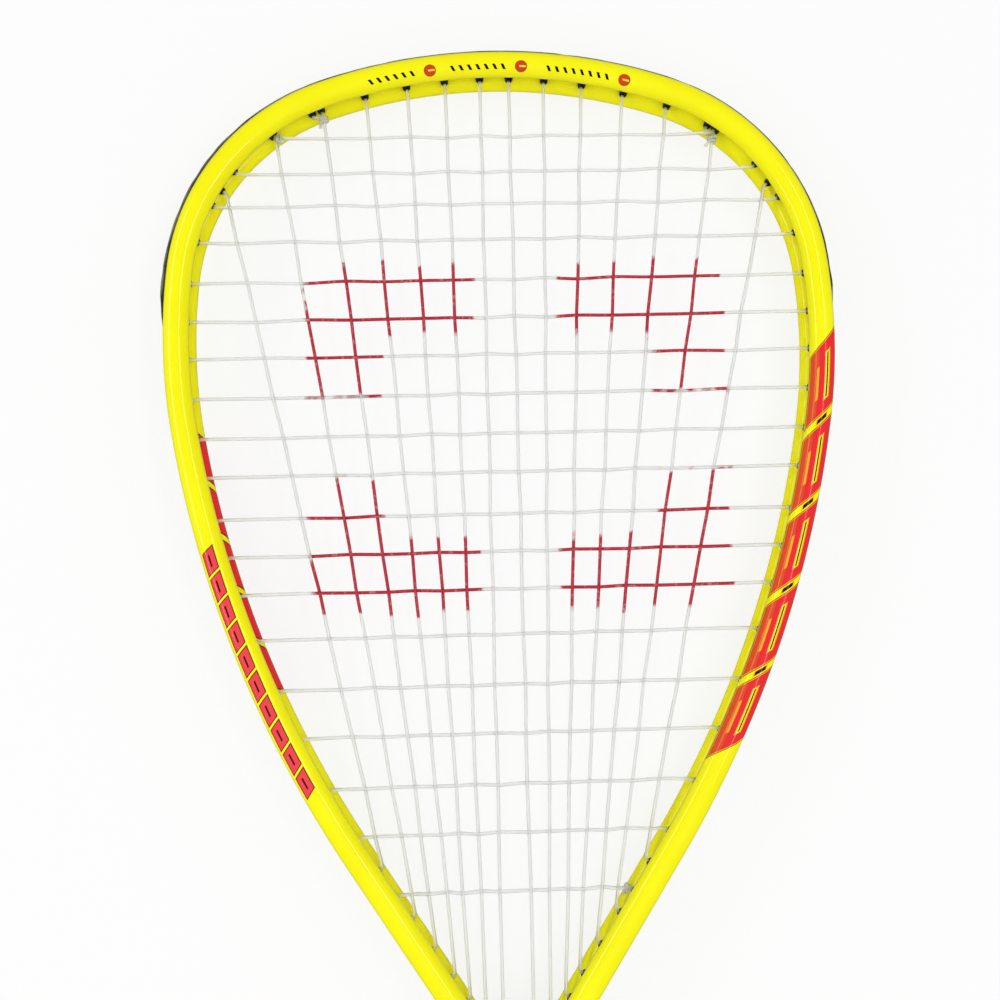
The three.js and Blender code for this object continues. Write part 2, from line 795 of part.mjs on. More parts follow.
/** An octagonal bar that widens towards the butt end, from low up to high. */
function flaredBar(margin, flareLow, low, high) {
  const settings = {
    depth: flareLow - buttY,
    bevelThickness: cap.taper,
    bevelSize: cap.flare,
    bevelSegments: 1,
  };
  const flare = new THREE.ExtrudeGeometry(octagon(margin), settings);
  const body = joined([
    solid(flare.rotateX(quarter).translate(0, flareLow, 0)),
    extrudeY(octagon(margin), flareLow, Math.max(high, flareLow + cap.taper)),
  ]);
  const room = octagon(margin + cap.flare + overrun);
  const above = extrudeY(room, high, high + cap.taper + grip.length);
  const below = extrudeY(room, buttY - cap.taper - overrun, low);
  return body.subtract(joined([above, below]));
}

const flareLow = buttY + cap.lip;
const capCoreAt = (place) =>
  palletHalf + cap.flare * (1 - Math.max(place - cap.lip, 0) / cap.taper);
const capScrewTop = capCoreAt(capScrew.place + capScrew.head / 2) - capScrew.sink;
const capScrewTip = capScrewTop - capScrew.length;

function buttCap() {
  const lip = extrudeY(octagon(cap.flare), buttY, flareLow);
  const body = joined([lip, flaredBar(palletMargin, flareLow, buttY, buttY + cap.length)]);
  const hollow = extrudeY(octagon(capInner), buttY + cap.plate, buttY + cap.length + overrun);
  const cordHoles = bothSides.map((side) => {
    const radius = cap.cordHole / 2;
    const hole = new THREE.CylinderGeometry(radius, radius, 2 * cap.length, screwSides);
    return solid(hole.translate((side * cap.cordSpacing) / 2, buttY, 0));
  });
  const reach = palletHalf + cap.flare + overrun;
  const screwY = buttY + capScrew.place;
  const screwHoles = barX(capScrew.shank / 2 + clearance, -reach, reach, screwY, holeSides);
  const headFloor = capScrewTop - capScrew.headHeight - clearance;
  const headHoles = [[headFloor, reach], [-reach, -headFloor]].map(([low, high]) =>
    barX(capScrew.head / 2 + clearance, low, high, screwY, screwSides),
  );
  return body.subtract(joined([hollow, ...cordHoles, screwHoles, ...headHoles]));
}

const gripTop = buttY + grip.length;

function gripWrap() {
  const low = flareLow + clearance;
  const outer = flaredBar(0, flareLow, low, gripTop);
  const inner = flaredBar(palletMargin + clearance, flareLow, low - clearance, gripTop + clearance);
  return outer.subtract(inner);
}

const sleeve = (innerMargin, wall, low, high) =>
  extrudeY(octagon(innerMargin + wall), low, high).subtract(
    extrudeY(octagon(innerMargin), low - overrun, high + overrun),
  );

function gripCollar() {
  const low = gripTop - collar.cover;
  const high = gripTop + clearance + collar.lip;
  const outer = clearance + collar.wall;
  const body = extrudeY(octagon(outer), low, high);
  const overGrip = extrudeY(octagon(clearance), low - overrun, gripTop + clearance);
  const overPallets = extrudeY(octagon(palletMargin + clearance), gripTop, high + overrun);
  return body.subtract(joined([overGrip, overPallets]));
}

function finishingTape() {
  const high = gripTop - collar.cover - tape.gapToCollar;
  return sleeve(clearance, tape.thickness, high - tape.length, high);
}

// Finishes

const finish = (color, roughness, metalness) =>
  new THREE.MeshStandardMaterial({ color, roughness, metalness });
const yellowPaint = finish("#fdf000", 0.22, 0);
const blackNylon = finish("#20221b", 0.5, 0);
const stringNylon = finish("#dedfd8", 0.35, 0);
const steel = finish("#a7a9ac", 0.35, 1);
const rubber = finish("#17181a", 0.75, 0);
const wrapFoam = finish("#26272a", 0.85, 0);
const palletPlastic = finish("#8a8c86", 0.6, 0);
const beech = finish("#c19a68", 0.7, 0);
const tapeVinyl = finish("#101114", 0.45, 0);

// The assembly, moved so that its box is centred over the origin and stands on z = 0

const racket = new THREE.Group();
racket.name = "racquetball_racket";

function place(name, made, material) {
  const mesh = made.getMesh();
  const geometry = new THREE.BufferGeometry();
  geometry.setAttribute("position", new THREE.BufferAttribute(mesh.vertProperties, 3));
  geometry.setIndex(new THREE.BufferAttribute(mesh.triVerts, 1));
  geometry.computeVertexNormals();
  const piece = new THREE.Mesh(geometry, material);
  piece.name = name;
  racket.add(piece);
}

place("frame_tube", frameTube().subtract(frameCuts), yellowPaint);
place("bumper_guard", grommetStrip(bumperSection, wideStation, -wideStation), blackNylon);
place("grommet_strip_right", grommetStrip(stripSection, stripTo, stripFrom), blackNylon);
place("grommet_strip_left", grommetStrip(stripSection, -stripFrom, -stripTo), blackNylon);
place("throat_yoke", throatYoke(), blackNylon);
place("main_string", mainString(), stringNylon);
place("cross_string", crossString(), stringNylon);
place("handle_core", handleCore(), beech);
for (const [label, side] of [["right", 1], ["left", -1]]) {
  place(`leg_plug_${label}`, legPlug(side), rubber);
  place(`handle_pallet_${label}`, palletHalfSolid(side), palletPlastic);
  const cut = screwX(capScrew, capScrewTip, capScrewTop, buttY + capScrew.place);
  place(`butt_cap_screw_${label}`, side > 0 ? cut : cut.mirror([1, 0, 0]), steel);
}
screw.places.forEach((where, i) => {
  const top = palletHalf - screw.sink;
  place(`pallet_screw_${i + 1}`, screwX(screw, screwTip, top, buttY + where), steel);
});
place("butt_cap", buttCap(), rubber);
place("grip_wrap", gripWrap(), wrapFoam);
place("finishing_tape", finishingTape(), tapeVinyl);
place("grip_collar", gripCollar(), rubber);

const top = guard.stand;
racket.position.set(0, -(top + buttY) / 2, gripHalf.depth + cap.flare);
console.log(`overall length ${(top - buttY).toFixed(1)} mm`);

export default racket;
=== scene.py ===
"""Racquetball racket: an alloy double tube, a strung head and a wrapped handle.

Lengths are in millimetres. Pieces are drawn in the head's frame, where y = 0 is the outside top of the
tube, z = 0 is the string plane and the handle runs down -y, and are put in place as they are finished.
"""

import logging
import math
from collections.abc import Callable, Iterable, Sequence
from dataclasses import dataclass, field
from enum import Enum
from functools import cached_property, partial

import bmesh
import bpy
from mathutils import Matrix, Vector, noise


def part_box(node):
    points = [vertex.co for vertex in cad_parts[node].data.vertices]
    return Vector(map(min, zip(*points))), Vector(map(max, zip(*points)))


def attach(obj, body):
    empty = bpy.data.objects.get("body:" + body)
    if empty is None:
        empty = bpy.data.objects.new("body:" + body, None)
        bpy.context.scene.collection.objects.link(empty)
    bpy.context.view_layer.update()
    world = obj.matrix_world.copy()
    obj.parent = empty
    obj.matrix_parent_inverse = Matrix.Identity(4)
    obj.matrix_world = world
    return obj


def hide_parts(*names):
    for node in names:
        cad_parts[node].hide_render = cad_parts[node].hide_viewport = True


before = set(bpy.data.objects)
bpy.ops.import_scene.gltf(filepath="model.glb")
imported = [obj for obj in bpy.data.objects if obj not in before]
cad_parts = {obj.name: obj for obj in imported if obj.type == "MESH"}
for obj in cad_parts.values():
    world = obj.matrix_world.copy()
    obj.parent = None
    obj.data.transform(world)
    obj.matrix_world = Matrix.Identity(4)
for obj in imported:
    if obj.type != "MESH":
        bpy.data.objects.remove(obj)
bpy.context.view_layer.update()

LOG = logging.getLogger("racket")
MM = 0.001
GUARD_STAND = 1.6  # how far the guard stands out of the tube
TOP_MIDDLE = (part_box("bumper_guard")[0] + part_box("bumper_guard")[1]) / 2
TO_PART = Matrix.Translation(
    (0.0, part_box("bumper_guard")[1].y - GUARD_STAND * MM, TOP_MIDDLE.z)
) @ Matrix.Scale(MM, 4)
ROOT = "root"


class Face(Enum):
    """The side of the racket that a mark is painted on."""

    FRONT = 1.0
    BACK = -1.0


# Colour and node helpers


def colour(code: str) -> tuple[float, float, float, float]:
    """Turns an sRGB hex code into a linear colour.

    Args:
        code: Six hex digits after a hash.

    Returns:
        Red, green, blue and an alpha of one.
    """
    parts = [int(code[i : i + 2], 16) / 255 for i in (1, 3, 5)]
    linear = [c / 12.92 if c <= 0.04045 else ((c + 0.055) / 1.055) ** 2.4 for c in parts]
    return (*linear, 1.0)


def feed(tree: bpy.types.NodeTree, node: bpy.types.Node, inputs: dict) -> None:
    """Sets or links a node's inputs.

    Args:
        tree: The tree that the node is in.
        node: The node.
        inputs: Values by input name or number. A node stands for its first output, and a socket is linked.
    """
    for key, value in inputs.items():
        if isinstance(value, bpy.types.Node):
            value = value.outputs[0]
        if isinstance(value, bpy.types.NodeSocket):
            tree.links.new(value, node.inputs[key])
        else:
            node.inputs[key].default_value = value


def add_node(
    tree: bpy.types.NodeTree, kind: str, inputs: dict | None = None, **settings
) -> bpy.types.Node:
    """Adds a node with its settings and links.

    Args:
        tree: The tree that the node goes into.
        kind: The node's type name.
        inputs: What goes into it, as for feed.
        **settings: Properties of the node.

    Returns:
        The new node.
    """
    node = tree.nodes.new(kind)
    for name, value in settings.items():
        setattr(node, name, value)
    feed(tree, node, inputs or {})
    return node


def set_ramp(node: bpy.types.Node, stops: Sequence[tuple[float, tuple]], steps: bool) -> None:
    """Fills a colour ramp.

    Args:
        node: The ramp node.
        stops: Positions with their colours, in order.
        steps: True for hard edges between the colours.
    """
    ramp = node.color_ramp
    ramp.interpolation = "CONSTANT" if steps else "LINEAR"
    while len(ramp.elements) < len(stops):
        ramp.elements.new(1.0)
    for element, (position, value) in zip(ramp.elements, stops):
        element.position = position
        element.color = value


# Modelling helpers


def new_draft() -> bmesh.types.BMesh:
    """A bmesh with the layers that hold a point's place along, beside and round the tube."""
    bm = bmesh.new()
    for name in ("station", "out", "girth"):
        bm.verts.layers.float.new(name)
    return bm


def draw_outline(
    bm: bmesh.types.BMesh, points: Iterable[tuple[float, float, float]], rounding: float, segments: int
) -> list[bmesh.types.BMEdge]:
    """Draws a closed section from its corners and rounds them.

    Args:
        bm: The draft, without faces yet.
        points: The corners in order.
        rounding: How far from a corner its round starts.
        segments: Steps in each round.

    Returns:
        The section's edges.
    """
    corners = [bm.verts.new(point) for point in points]
    bm.faces.new(corners)
    bmesh.ops.bevel(
        bm,
        geom=corners,
        offset=rounding,
        offset_type="OFFSET",
        affect="VERTICES",
        segments=segments,
        profile=0.5,
        material=-1,
        clamp_overlap=True,
    )
    bmesh.ops.delete(bm, geom=bm.faces[:], context="FACES_ONLY")
    return bm.edges[:]


def split_by_kind(geometry: Iterable) -> tuple[list, list]:
    """The points and the open edges of what an operator made."""
    points = [g for g in geometry if isinstance(g, bmesh.types.BMVert)]
    edges = [g for g in geometry if isinstance(g, bmesh.types.BMEdge) and not g.link_faces[1:]]
    return points, edges


def shade(bm: bmesh.types.BMesh, sharpest: float) -> None:
    """Shades a draft smooth, with hard edges where faces meet at more than an angle.

    Args:
        bm: The draft.
        sharpest: The angle in degrees.
    """
    for face in bm.faces:
        face.smooth = True
    for edge in bm.edges:
        if edge.is_manifold:
            edge.smooth = edge.calc_face_angle(0.0) < math.radians(sharpest)


@dataclass(frozen=True)
class Finish:
    """A surface finish, with the record's slot that it belongs to."""

    title: str
    slot: str

    def dress(self, tree: bpy.types.NodeTree, shader: bpy.types.Node) -> None:
        """Adds this finish's own nodes. Each kind of finish has its own."""

    @cached_property
    def material(self) -> bpy.types.Material:
        """The finish as a material."""
        made = bpy.data.materials.new(self.title)
        made.use_nodes = True
        self.dress(made.node_tree, made.node_tree.nodes["Principled BSDF"])
        return made


def hand_over(
    bm: bmesh.types.BMesh, name: str, finish: Finish, nodes: Sequence[str], sharpest: float = 35.0
) -> bpy.types.Object:
    """Makes a finished piece of a draft and puts it in place.

    Args:
        bm: The draft, in millimetres in the head's frame. It is freed.
        name: The piece's name.
        finish: Its finish.
        nodes: The frame's nodes that it stands for.
        sharpest: The angle in degrees past which an edge is hard.

    Returns:
        The piece.
    """
    shade(bm, sharpest)
    bm.transform(TO_PART)
    mesh = bpy.data.meshes.new(name)
    bm.to_mesh(mesh)
    bm.free()
    mesh.materials.append(finish.material)
    piece = bpy.data.objects.new(name, mesh)
    return settle(piece, nodes)


def settle(piece: bpy.types.Object, nodes: Sequence[str]) -> bpy.types.Object:
    """Links a piece to the scene and the frame, hides the nodes that it stands for, and reports it."""
    bpy.context.scene.collection.objects.link(piece)
    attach(piece, ROOT)
    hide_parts(*nodes)
    LOG.info("%s stands for %s", piece.name, ", ".join(nodes))
    return piece


# The tube's centre line


@dataclass(frozen=True)
class Place:
    """A place on the centre line; its heading is 0 to the right and grows downwards."""

    x: float
    y: float
    heading: float


@dataclass(frozen=True)
class Stretch:
    """An arc of the centre line. A radius of 0 makes it straight, and a negative one turns it back."""

    start: Place
    length: float
    radius: float

    def at(self, distance: float) -> Place:
        """Finds the place after a distance.

        Args:
            distance: How far along the stretch.

        Returns:
            The place there.
        """
        first = self.start
        if not self.radius:
            x = first.x + distance * math.cos(first.heading)
            return Place(x, first.y - distance * math.sin(first.heading), first.heading)
        heading = first.heading + distance / self.radius
        x = first.x + self.radius * (math.sin(heading) - math.sin(first.heading))
        y = first.y + self.radius * (math.cos(heading) - math.cos(first.heading))
        return Place(x, y, heading)


@dataclass(frozen=True)
class Rim:
    """The bent line that the tube, the guard and the strips follow.

    A station is the distance along it from the top of the head, negative on the left side. Out is the
    distance beside it, away from the strings.
    """

    width: float = 258.2
    arc_radius_shares: tuple[float, ...] = (0.82, 0.34, 0.87, 1.66)
    arc_turns: tuple[float, ...] = (19.0, 64.2, 16.2, 23.6)
    bend_radius: float = 45.0
    leg_gap: float = 1.0
    tube_width: float = 9.8
    plug_setback: float = 30.0
    side_arc: int = 2
    butt: float = (TO_PART.inverted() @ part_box("butt_cap")[0]).y

    @cached_property
    def stretches(self) -> list[Stretch]:
        """The arcs of the head, the leg, its bend and the handle, from the top to the leg's end."""
        half = self.tube_width / 2
        leg_x = half + self.leg_gap / 2
        found = []
        end = Place(0.0, -half, 0.0)
        for share, turn in zip(self.arc_radius_shares, self.arc_turns):
            radius = share * self.width - half
            found.append(Stretch(end, radius * math.radians(turn), radius))
            end = found[-1].at(found[-1].length)
        turn = end.heading - math.pi / 2
        bend_x = leg_x + self.bend_radius * (1 - math.cos(turn))
        found.append(Stretch(end, (end.x - bend_x) / math.sin(turn), 0.0))
        end = found[-1].at(found[-1].length)
        found.append(Stretch(end, self.bend_radius * turn, -self.bend_radius))
        end = found[-1].at(found[-1].length)
        found.append(Stretch(end, end.y - self.butt - self.plug_setback, 0.0))
        return found

    @cached_property
    def starts(self) -> list[float]:
        """The station at which each stretch starts."""
        return [sum(s.length for s in self.stretches[:i]) for i in range(len(self.stretches))]

    @cached_property
    def length(self) -> float:
        """The station of the leg's end."""
        return self.starts[-1] + self.stretches[-1].length

    @cached_property
    def widest(self) -> float:
        """The station where the head is widest."""
        arc = self.stretches[self.side_arc]
        return self.starts[self.side_arc] + arc.radius * (math.pi / 2 - arc.start.heading)

    def at(self, station: float) -> Place:
        """The place at a station."""
        distance = abs(station)
        index = max(i for i, start in enumerate(self.starts) if start <= distance)
        found = self.stretches[index].at(distance - self.starts[index])
        side = -1.0 if station < 0 else 1.0
        return Place(side * found.x, found.y, side * found.heading)

    def point(self, station: float, out: float, z: float) -> Vector:
        """The point beside the line at a station."""
        here = self.at(station)
        return Vector((here.x + out * math.sin(here.heading), here.y + out * math.cos(here.heading), z))

    def pose(self, station: float) -> Matrix:
        """The matrix that puts a section, with x outwards and z upwards, at a station."""
        return Matrix.Translation(self.point(station, 0.0, 0.0)) @ Matrix.Rotation(
            math.pi / 2 - self.at(station).heading, 4, "Z"
        )

    def find(self, miss: Callable[[float], float], low: float, high: float) -> float:
        """Finds the station where a function changes sign.

        Args:
            miss: A function of the station.
            low: A station on one side of the change.
            high: A station on the other side.

        Returns:
            The station.
        """
        rising = miss(high) > miss(low)
        for _ in range(50):
            middle = (low + high) / 2
            if (miss(middle) > 0) == rising:
                high = middle
            else:
                low = middle
        return (low + high) / 2

    def sweep(self, bm: bmesh.types.BMesh, edges: list, start: float, end: float, step: float) -> list:
        """Sweeps a section along the line.

        Args:
            bm: The draft that holds the section, drawn with x outwards and z upwards.
            edges: The section's edges.
            start: The first station.
            end: The last station.
            step: The longest distance between two rings.

        Returns:
            The last ring's edges.
        """
        station, out = (bm.verts.layers.float[name] for name in ("station", "out"))
        points = list({v for edge in edges for v in edge.verts})
        for v in points:
            v[out] = v.co.x
            v[station] = start
        count = math.ceil(abs(end - start) / step)
        pose = self.pose(start)
        bmesh.ops.transform(bm, matrix=pose, verts=points)
        for k in range(1, count + 1):
            here = start + (end - start) * k / count
            made = bmesh.ops.extrude_edge_only(bm, edges=edges)["geom"]
            points, edges = split_by_kind(made)
            following = self.pose(here)
            bmesh.ops.transform(bm, matrix=following @ pose.inverted(), verts=points)
            pose = following
            for v in points:
                v[station] = here
        return edges


# Where the strings go


@dataclass(frozen=True)
class StringPlan:
    """The places of the main strings, which fan out, and of the cross strings."""

    rim: Rim
    diameter: float = 1.3
    layer: float = 0.8
    mouth: float = 4.9
    main_top_share: float = 0.2636
    main_low_share: float = 1.0376
    main_top_shares: tuple[float, ...] = (0.022, 0.071, 0.123, 0.18, 0.241, 0.311, 0.397)
    main_low_shares: tuple[float, ...] = (0.022, 0.055, 0.0865, 0.1175, 0.151, 0.186, 0.23)
    cross_shares: tuple[float, ...] = (
        0.1206, 0.1756, 0.2256, 0.2806, 0.3426, 0.4006, 0.4576, 0.5176, 0.5776, 0.6356,
        0.6986, 0.7546, 0.8106, 0.8776, 0.9516, 1.0226, 1.0966, 1.1666, 1.2506,
    )
    tie_spacing: float = 4.0
    left_tie_main: int = 4
    right_tie_main: int = 5

    def main_x(self, i: int, y: float) -> float:
        """Distance of main string i from the middle line at a height."""
        share = (-y / self.rim.width - self.main_top_share) / (self.main_low_share - self.main_top_share)
        top, low = self.main_top_shares[i], self.main_low_shares[i]
        return self.rim.width * (top + (low - top) * share)

    def main_y(self, j: int) -> float:
        """Height of cross string j."""
        return -self.cross_shares[j] * self.rim.width

    def miss_main(self, i: int) -> Callable[[float], float]:
        """A function of the station that is 0 where main string i meets the rim."""

        def miss(station: float) -> float:
            mouth = self.rim.point(station, -self.mouth, 0.0)
            return mouth.x - self.main_x(i, mouth.y)

        return miss

    @cached_property
    def main_tops(self) -> list[float]:
        """Right-hand stations of the mains' upper holes."""
        wide = self.rim.widest
        return [self.rim.find(self.miss_main(i), 0.0, wide) for i in range(len(self.main_top_shares))]

    @cached_property
    def main_lows(self) -> list[float]:
        """Right-hand stations of the mains' lower holes, from the second main outwards."""
        wide, bend = self.rim.widest, self.rim.starts[-2]
        count = len(self.main_top_shares)
        return [self.rim.find(self.miss_main(i), wide, bend) for i in range(1, count)]

    @cached_property
    def cross_ends(self) -> list[float]:
        """Right-hand stations of the crosses' holes."""
        bend = self.rim.starts[-2]
        heights = [self.main_y(j) for j in range(len(self.cross_shares))]
        return [
            self.rim.find(lambda s, y=y: self.rim.point(s, -self.mouth, 0.0).y - y, 0.0, bend)
            for y in heights
        ]

    @cached_property
    def ties(self) -> tuple[float, float]:
        """Stations of the two holes where the main string's ends come back in."""
        left = -(self.main_tops[self.left_tie_main] + self.tie_spacing)
        return left, self.main_tops[self.right_tie_main] - self.tie_spacing

    @cached_property
    def holes(self) -> list[tuple[float, float]]:
        """Every hole's station and its height beside the string plane."""
        mains = [side * s for s in [*self.main_tops, *self.main_lows] for side in (1, -1)]
        crosses = [side * s for s in self.cross_ends for side in (1, -1)]
        layers = [([*mains, *self.ties], -self.layer), (crosses, self.layer)]
        return [(station, z) for stations, z in layers for station in stations]


# Finishes


@dataclass(frozen=True)
class Surface:
    """A painted surface's places: along the tube, round the lobe and over the string plane."""

    station: bpy.types.NodeSocket
    girth: bpy.types.NodeSocket
    height: bpy.types.NodeSocket


@dataclass(frozen=True)
class Mark:
    """A painted mark, in bands that follow its outline inwards."""

    face: Face
    bands: tuple[tuple[float, str], ...]

    reach = 8.0  # depth of the ramp that holds the bands
    outweigh = 1e6  # makes the wrong side of the string plane count as outside
    first_stop = 1e-4  # keeps the clear stop ahead of the outermost band

    def depth(self, tree: bpy.types.NodeTree, surface: Surface) -> bpy.types.Node:
        """How far inside the outline, in millimetres. Each kind of mark has its own."""

    def paint(
        self, tree: bpy.types.NodeTree, under: bpy.types.NodeSocket, surface: Surface
    ) -> bpy.types.NodeSocket:
        """Lays the mark over a colour.

        Args:
            tree: The material's nodes.
            under: The colour below.
            surface: The surface's places.

        Returns:
            The new colour.
        """
        facing = self.face.value * self.outweigh
        side = add_node(tree, "ShaderNodeMath", {0: surface.height, 1: facing}, operation="MULTIPLY")
        depth = self.depth(tree, surface)
        inside = add_node(tree, "ShaderNodeMath", {0: depth, 1: side}, operation="MINIMUM")
        share = add_node(tree, "ShaderNodeMath", {0: inside, 1: self.reach}, operation="DIVIDE")
        ramp = add_node(tree, "ShaderNodeValToRGB", {"Fac": share})
        clear = (0.0, 0.0, 0.0, 0.0)
        bands = [(max(inwards / self.reach, self.first_stop), colour(code)) for inwards, code in self.bands]
        set_ramp(ramp, [(0.0, clear), *bands], steps=True)
        mixed = add_node(
            tree,
            "ShaderNodeMix",
            {"Factor": ramp.outputs["Alpha"], "A": under, "B": ramp.outputs["Color"]},
            data_type="RGBA",
        )
        return mixed.outputs["Result"]


@dataclass(frozen=True)
class Blocks(Mark):
    """A row of slanted blocks along a lobe."""

    start: float
    end: float
    pitch: float
    gap: float
    slant: float
    middle: float
    half_width: float

    def depth(self, tree: bpy.types.NodeTree, surface: Surface) -> bpy.types.Node:
        """How far inside the nearest block's outline."""
        lean = add_node(tree, "ShaderNodeMath", {0: surface.girth, 1: self.slant}, operation="MULTIPLY")
        along = add_node(tree, "ShaderNodeMath", {0: surface.station, 1: lean}, operation="ADD")
        from_start = add_node(tree, "ShaderNodeMath", {0: along, 1: self.start}, operation="SUBTRACT")
        to_end = add_node(tree, "ShaderNodeMath", {0: self.end, 1: along}, operation="SUBTRACT")
        fold = add_node(tree, "ShaderNodeMath", {0: from_start, 1: self.pitch / 2}, operation="PINGPONG")
        nearest = add_node(tree, "ShaderNodeMath", {0: fold, 1: self.gap / 2}, operation="SUBTRACT")
        aside = add_node(tree, "ShaderNodeMath", {0: surface.girth, 1: self.middle}, operation="SUBTRACT")
        beside = add_node(tree, "ShaderNodeMath", {0: aside}, operation="ABSOLUTE")
        within = add_node(tree, "ShaderNodeMath", {0: self.half_width, 1: beside}, operation="SUBTRACT")
        for edge in (within, from_start, to_end):
            nearest = add_node(tree, "ShaderNodeMath", {0: nearest, 1: edge}, operation="MINIMUM")
        return nearest


@dataclass(frozen=True)
class Dot(Mark):
    """A round dot."""

    station: float
    girth: float
    radius: float

    def depth(self, tree: bpy.types.NodeTree, surface: Surface) -> bpy.types.Node:
        """How far inside the dot's edge."""
        spot = add_node(tree, "ShaderNodeCombineXYZ", {0: surface.station, 1: surface.girth})
        middle = (self.station, self.girth, 0.0)
        away = add_node(tree, "ShaderNodeVectorMath", {0: spot, 1: middle}, operation="DISTANCE")
        return add_node(
            tree, "ShaderNodeMath", {0: self.radius, 1: away.outputs["Value"]}, operation="SUBTRACT"
        )


@dataclass(frozen=True)
class Enamel(Finish):
    """Gloss enamel sprayed over aluminium tube.

    It gives the eye a deep, wet yellow, a shade greener where the coat is thin, with crisp streaks of light
    and the faint ripple that sprayed paint has.
    """

    marks: tuple[Mark, ...] = ()
    thin_coat: str = "#fdf600"
    full_coat: str = "#fffb00"
    cloud_size: float = 30.0  # of the areas where the coat is thin
    peel_size: float = 1.2  # of the ripple
    peel_height: float = 0.05
    peel_strength: float = 0.16
    roughness: tuple[float, float] = (0.26, 0.34)

    def dress(self, tree: bpy.types.NodeTree, shader: bpy.types.Node) -> None:
        """Adds the yellow, the marks along the tube and the ripple."""
        station = add_node(tree, "ShaderNodeAttribute", attribute_name="station").outputs["Fac"]
        girth = add_node(tree, "ShaderNodeAttribute", attribute_name="girth").outputs["Fac"]
        place = add_node(tree, "ShaderNodeTexCoord").outputs["Object"]
        string_plane = (0.0, 0.0, -TO_PART.translation.z)
        centred = add_node(tree, "ShaderNodeMapping", {"Vector": place, "Location": string_plane})
        height = add_node(tree, "ShaderNodeSeparateXYZ", {0: centred}).outputs["Z"]
        cloud = add_node(
            tree,
            "ShaderNodeTexNoise",
            {"Vector": place, "Scale": 1 / (self.cloud_size * MM), "Detail": 2.0},
        )
        tone = add_node(tree, "ShaderNodeValToRGB", {"Fac": cloud})
        set_ramp(tone, [(0.35, colour(self.thin_coat)), (0.65, colour(self.full_coat))], steps=False)
        painted = tone.outputs["Color"]
        surface = Surface(station, girth, height)
        for mark in self.marks:
            painted = mark.paint(tree, painted, surface)
        peel = add_node(
            tree,
            "ShaderNodeTexNoise",
            {"Vector": place, "Scale": 1 / (self.peel_size * MM), "Detail": 1.0},
        )
        ripple = {"Height": peel, "Strength": self.peel_strength, "Distance": self.peel_height * MM}
        sheen = {"Value": cloud, "To Min": self.roughness[0], "To Max": self.roughness[1]}
        looks = {
            "Base Color": painted,
            "Normal": add_node(tree, "ShaderNodeBump", ripple),
            "Roughness": add_node(tree, "ShaderNodeMapRange", sheen),
            "IOR": 1.5,
            "Specular IOR Level": 0.12,
            "Coat Weight": 0.55,
            "Coat Roughness": 0.1,
        }
        feed(tree, shader, looks)


@dataclass(frozen=True)
class MouldedNylon(Finish):
    """Injection-moulded nylon.

    It gives the eye a satin black with a fine grain, dulled and greyed where the head scrapes the court.
    """

    fresh: str = "#0d0e0a"
    rubbed: str = "#282a1d"
    scraped: str = "#808268"
    patch_size: float = 9.0  # of the scuffs
    scuff_start: float = 4.6  # distance outwards, just inside the tube's outer face
    scuff_full: float = 6.4  # at the guard's outside
    grain_size: float = 0.6  # coarser than the mould's own, so that it shows
    grain_height: float = 0.05
    roughness: tuple[float, float] = (0.42, 0.75)

    def dress(self, tree: bpy.types.NodeTree, shader: bpy.types.Node) -> None:
        """Adds the black, the scuffs on the crown and the mould's grain."""
        place = add_node(tree, "ShaderNodeTexCoord").outputs["Object"]
        out = add_node(tree, "ShaderNodeAttribute", attribute_name="out").outputs["Fac"]
        patch = add_node(
            tree,
            "ShaderNodeTexNoise",
            {"Vector": place, "Scale": 1 / (self.patch_size * MM), "Detail": 6.0},
        )
        outside = {"Value": out, "From Min": self.scuff_start, "From Max": self.scuff_full}
        worn = add_node(tree, "ShaderNodeMapRange", outside)
        scuff = add_node(tree, "ShaderNodeMath", {0: patch, 1: worn}, operation="MULTIPLY")
        tone = add_node(tree, "ShaderNodeValToRGB", {"Fac": scuff})
        stops = [(0.0, colour(self.fresh)), (0.25, colour(self.rubbed)), (0.5, colour(self.scraped))]
        set_ramp(tone, stops, steps=False)
        grain = add_node(
            tree,
            "ShaderNodeTexNoise",
            {"Vector": place, "Scale": 1 / (self.grain_size * MM), "Detail": 3.0},
        )
        texture = {"Height": grain, "Strength": 0.25, "Distance": self.grain_height * MM}
        sheen = {"Value": scuff, "To Min": self.roughness[0], "To Max": self.roughness[1]}
        looks = {
            "Base Color": tone,
            "Normal": add_node(tree, "ShaderNodeBump", texture),
            "Roughness": add_node(tree, "ShaderNodeMapRange", sheen),
            "IOR": 1.53,
            "Specular IOR Level": 0.3,
        }
        feed(tree, shader, looks)


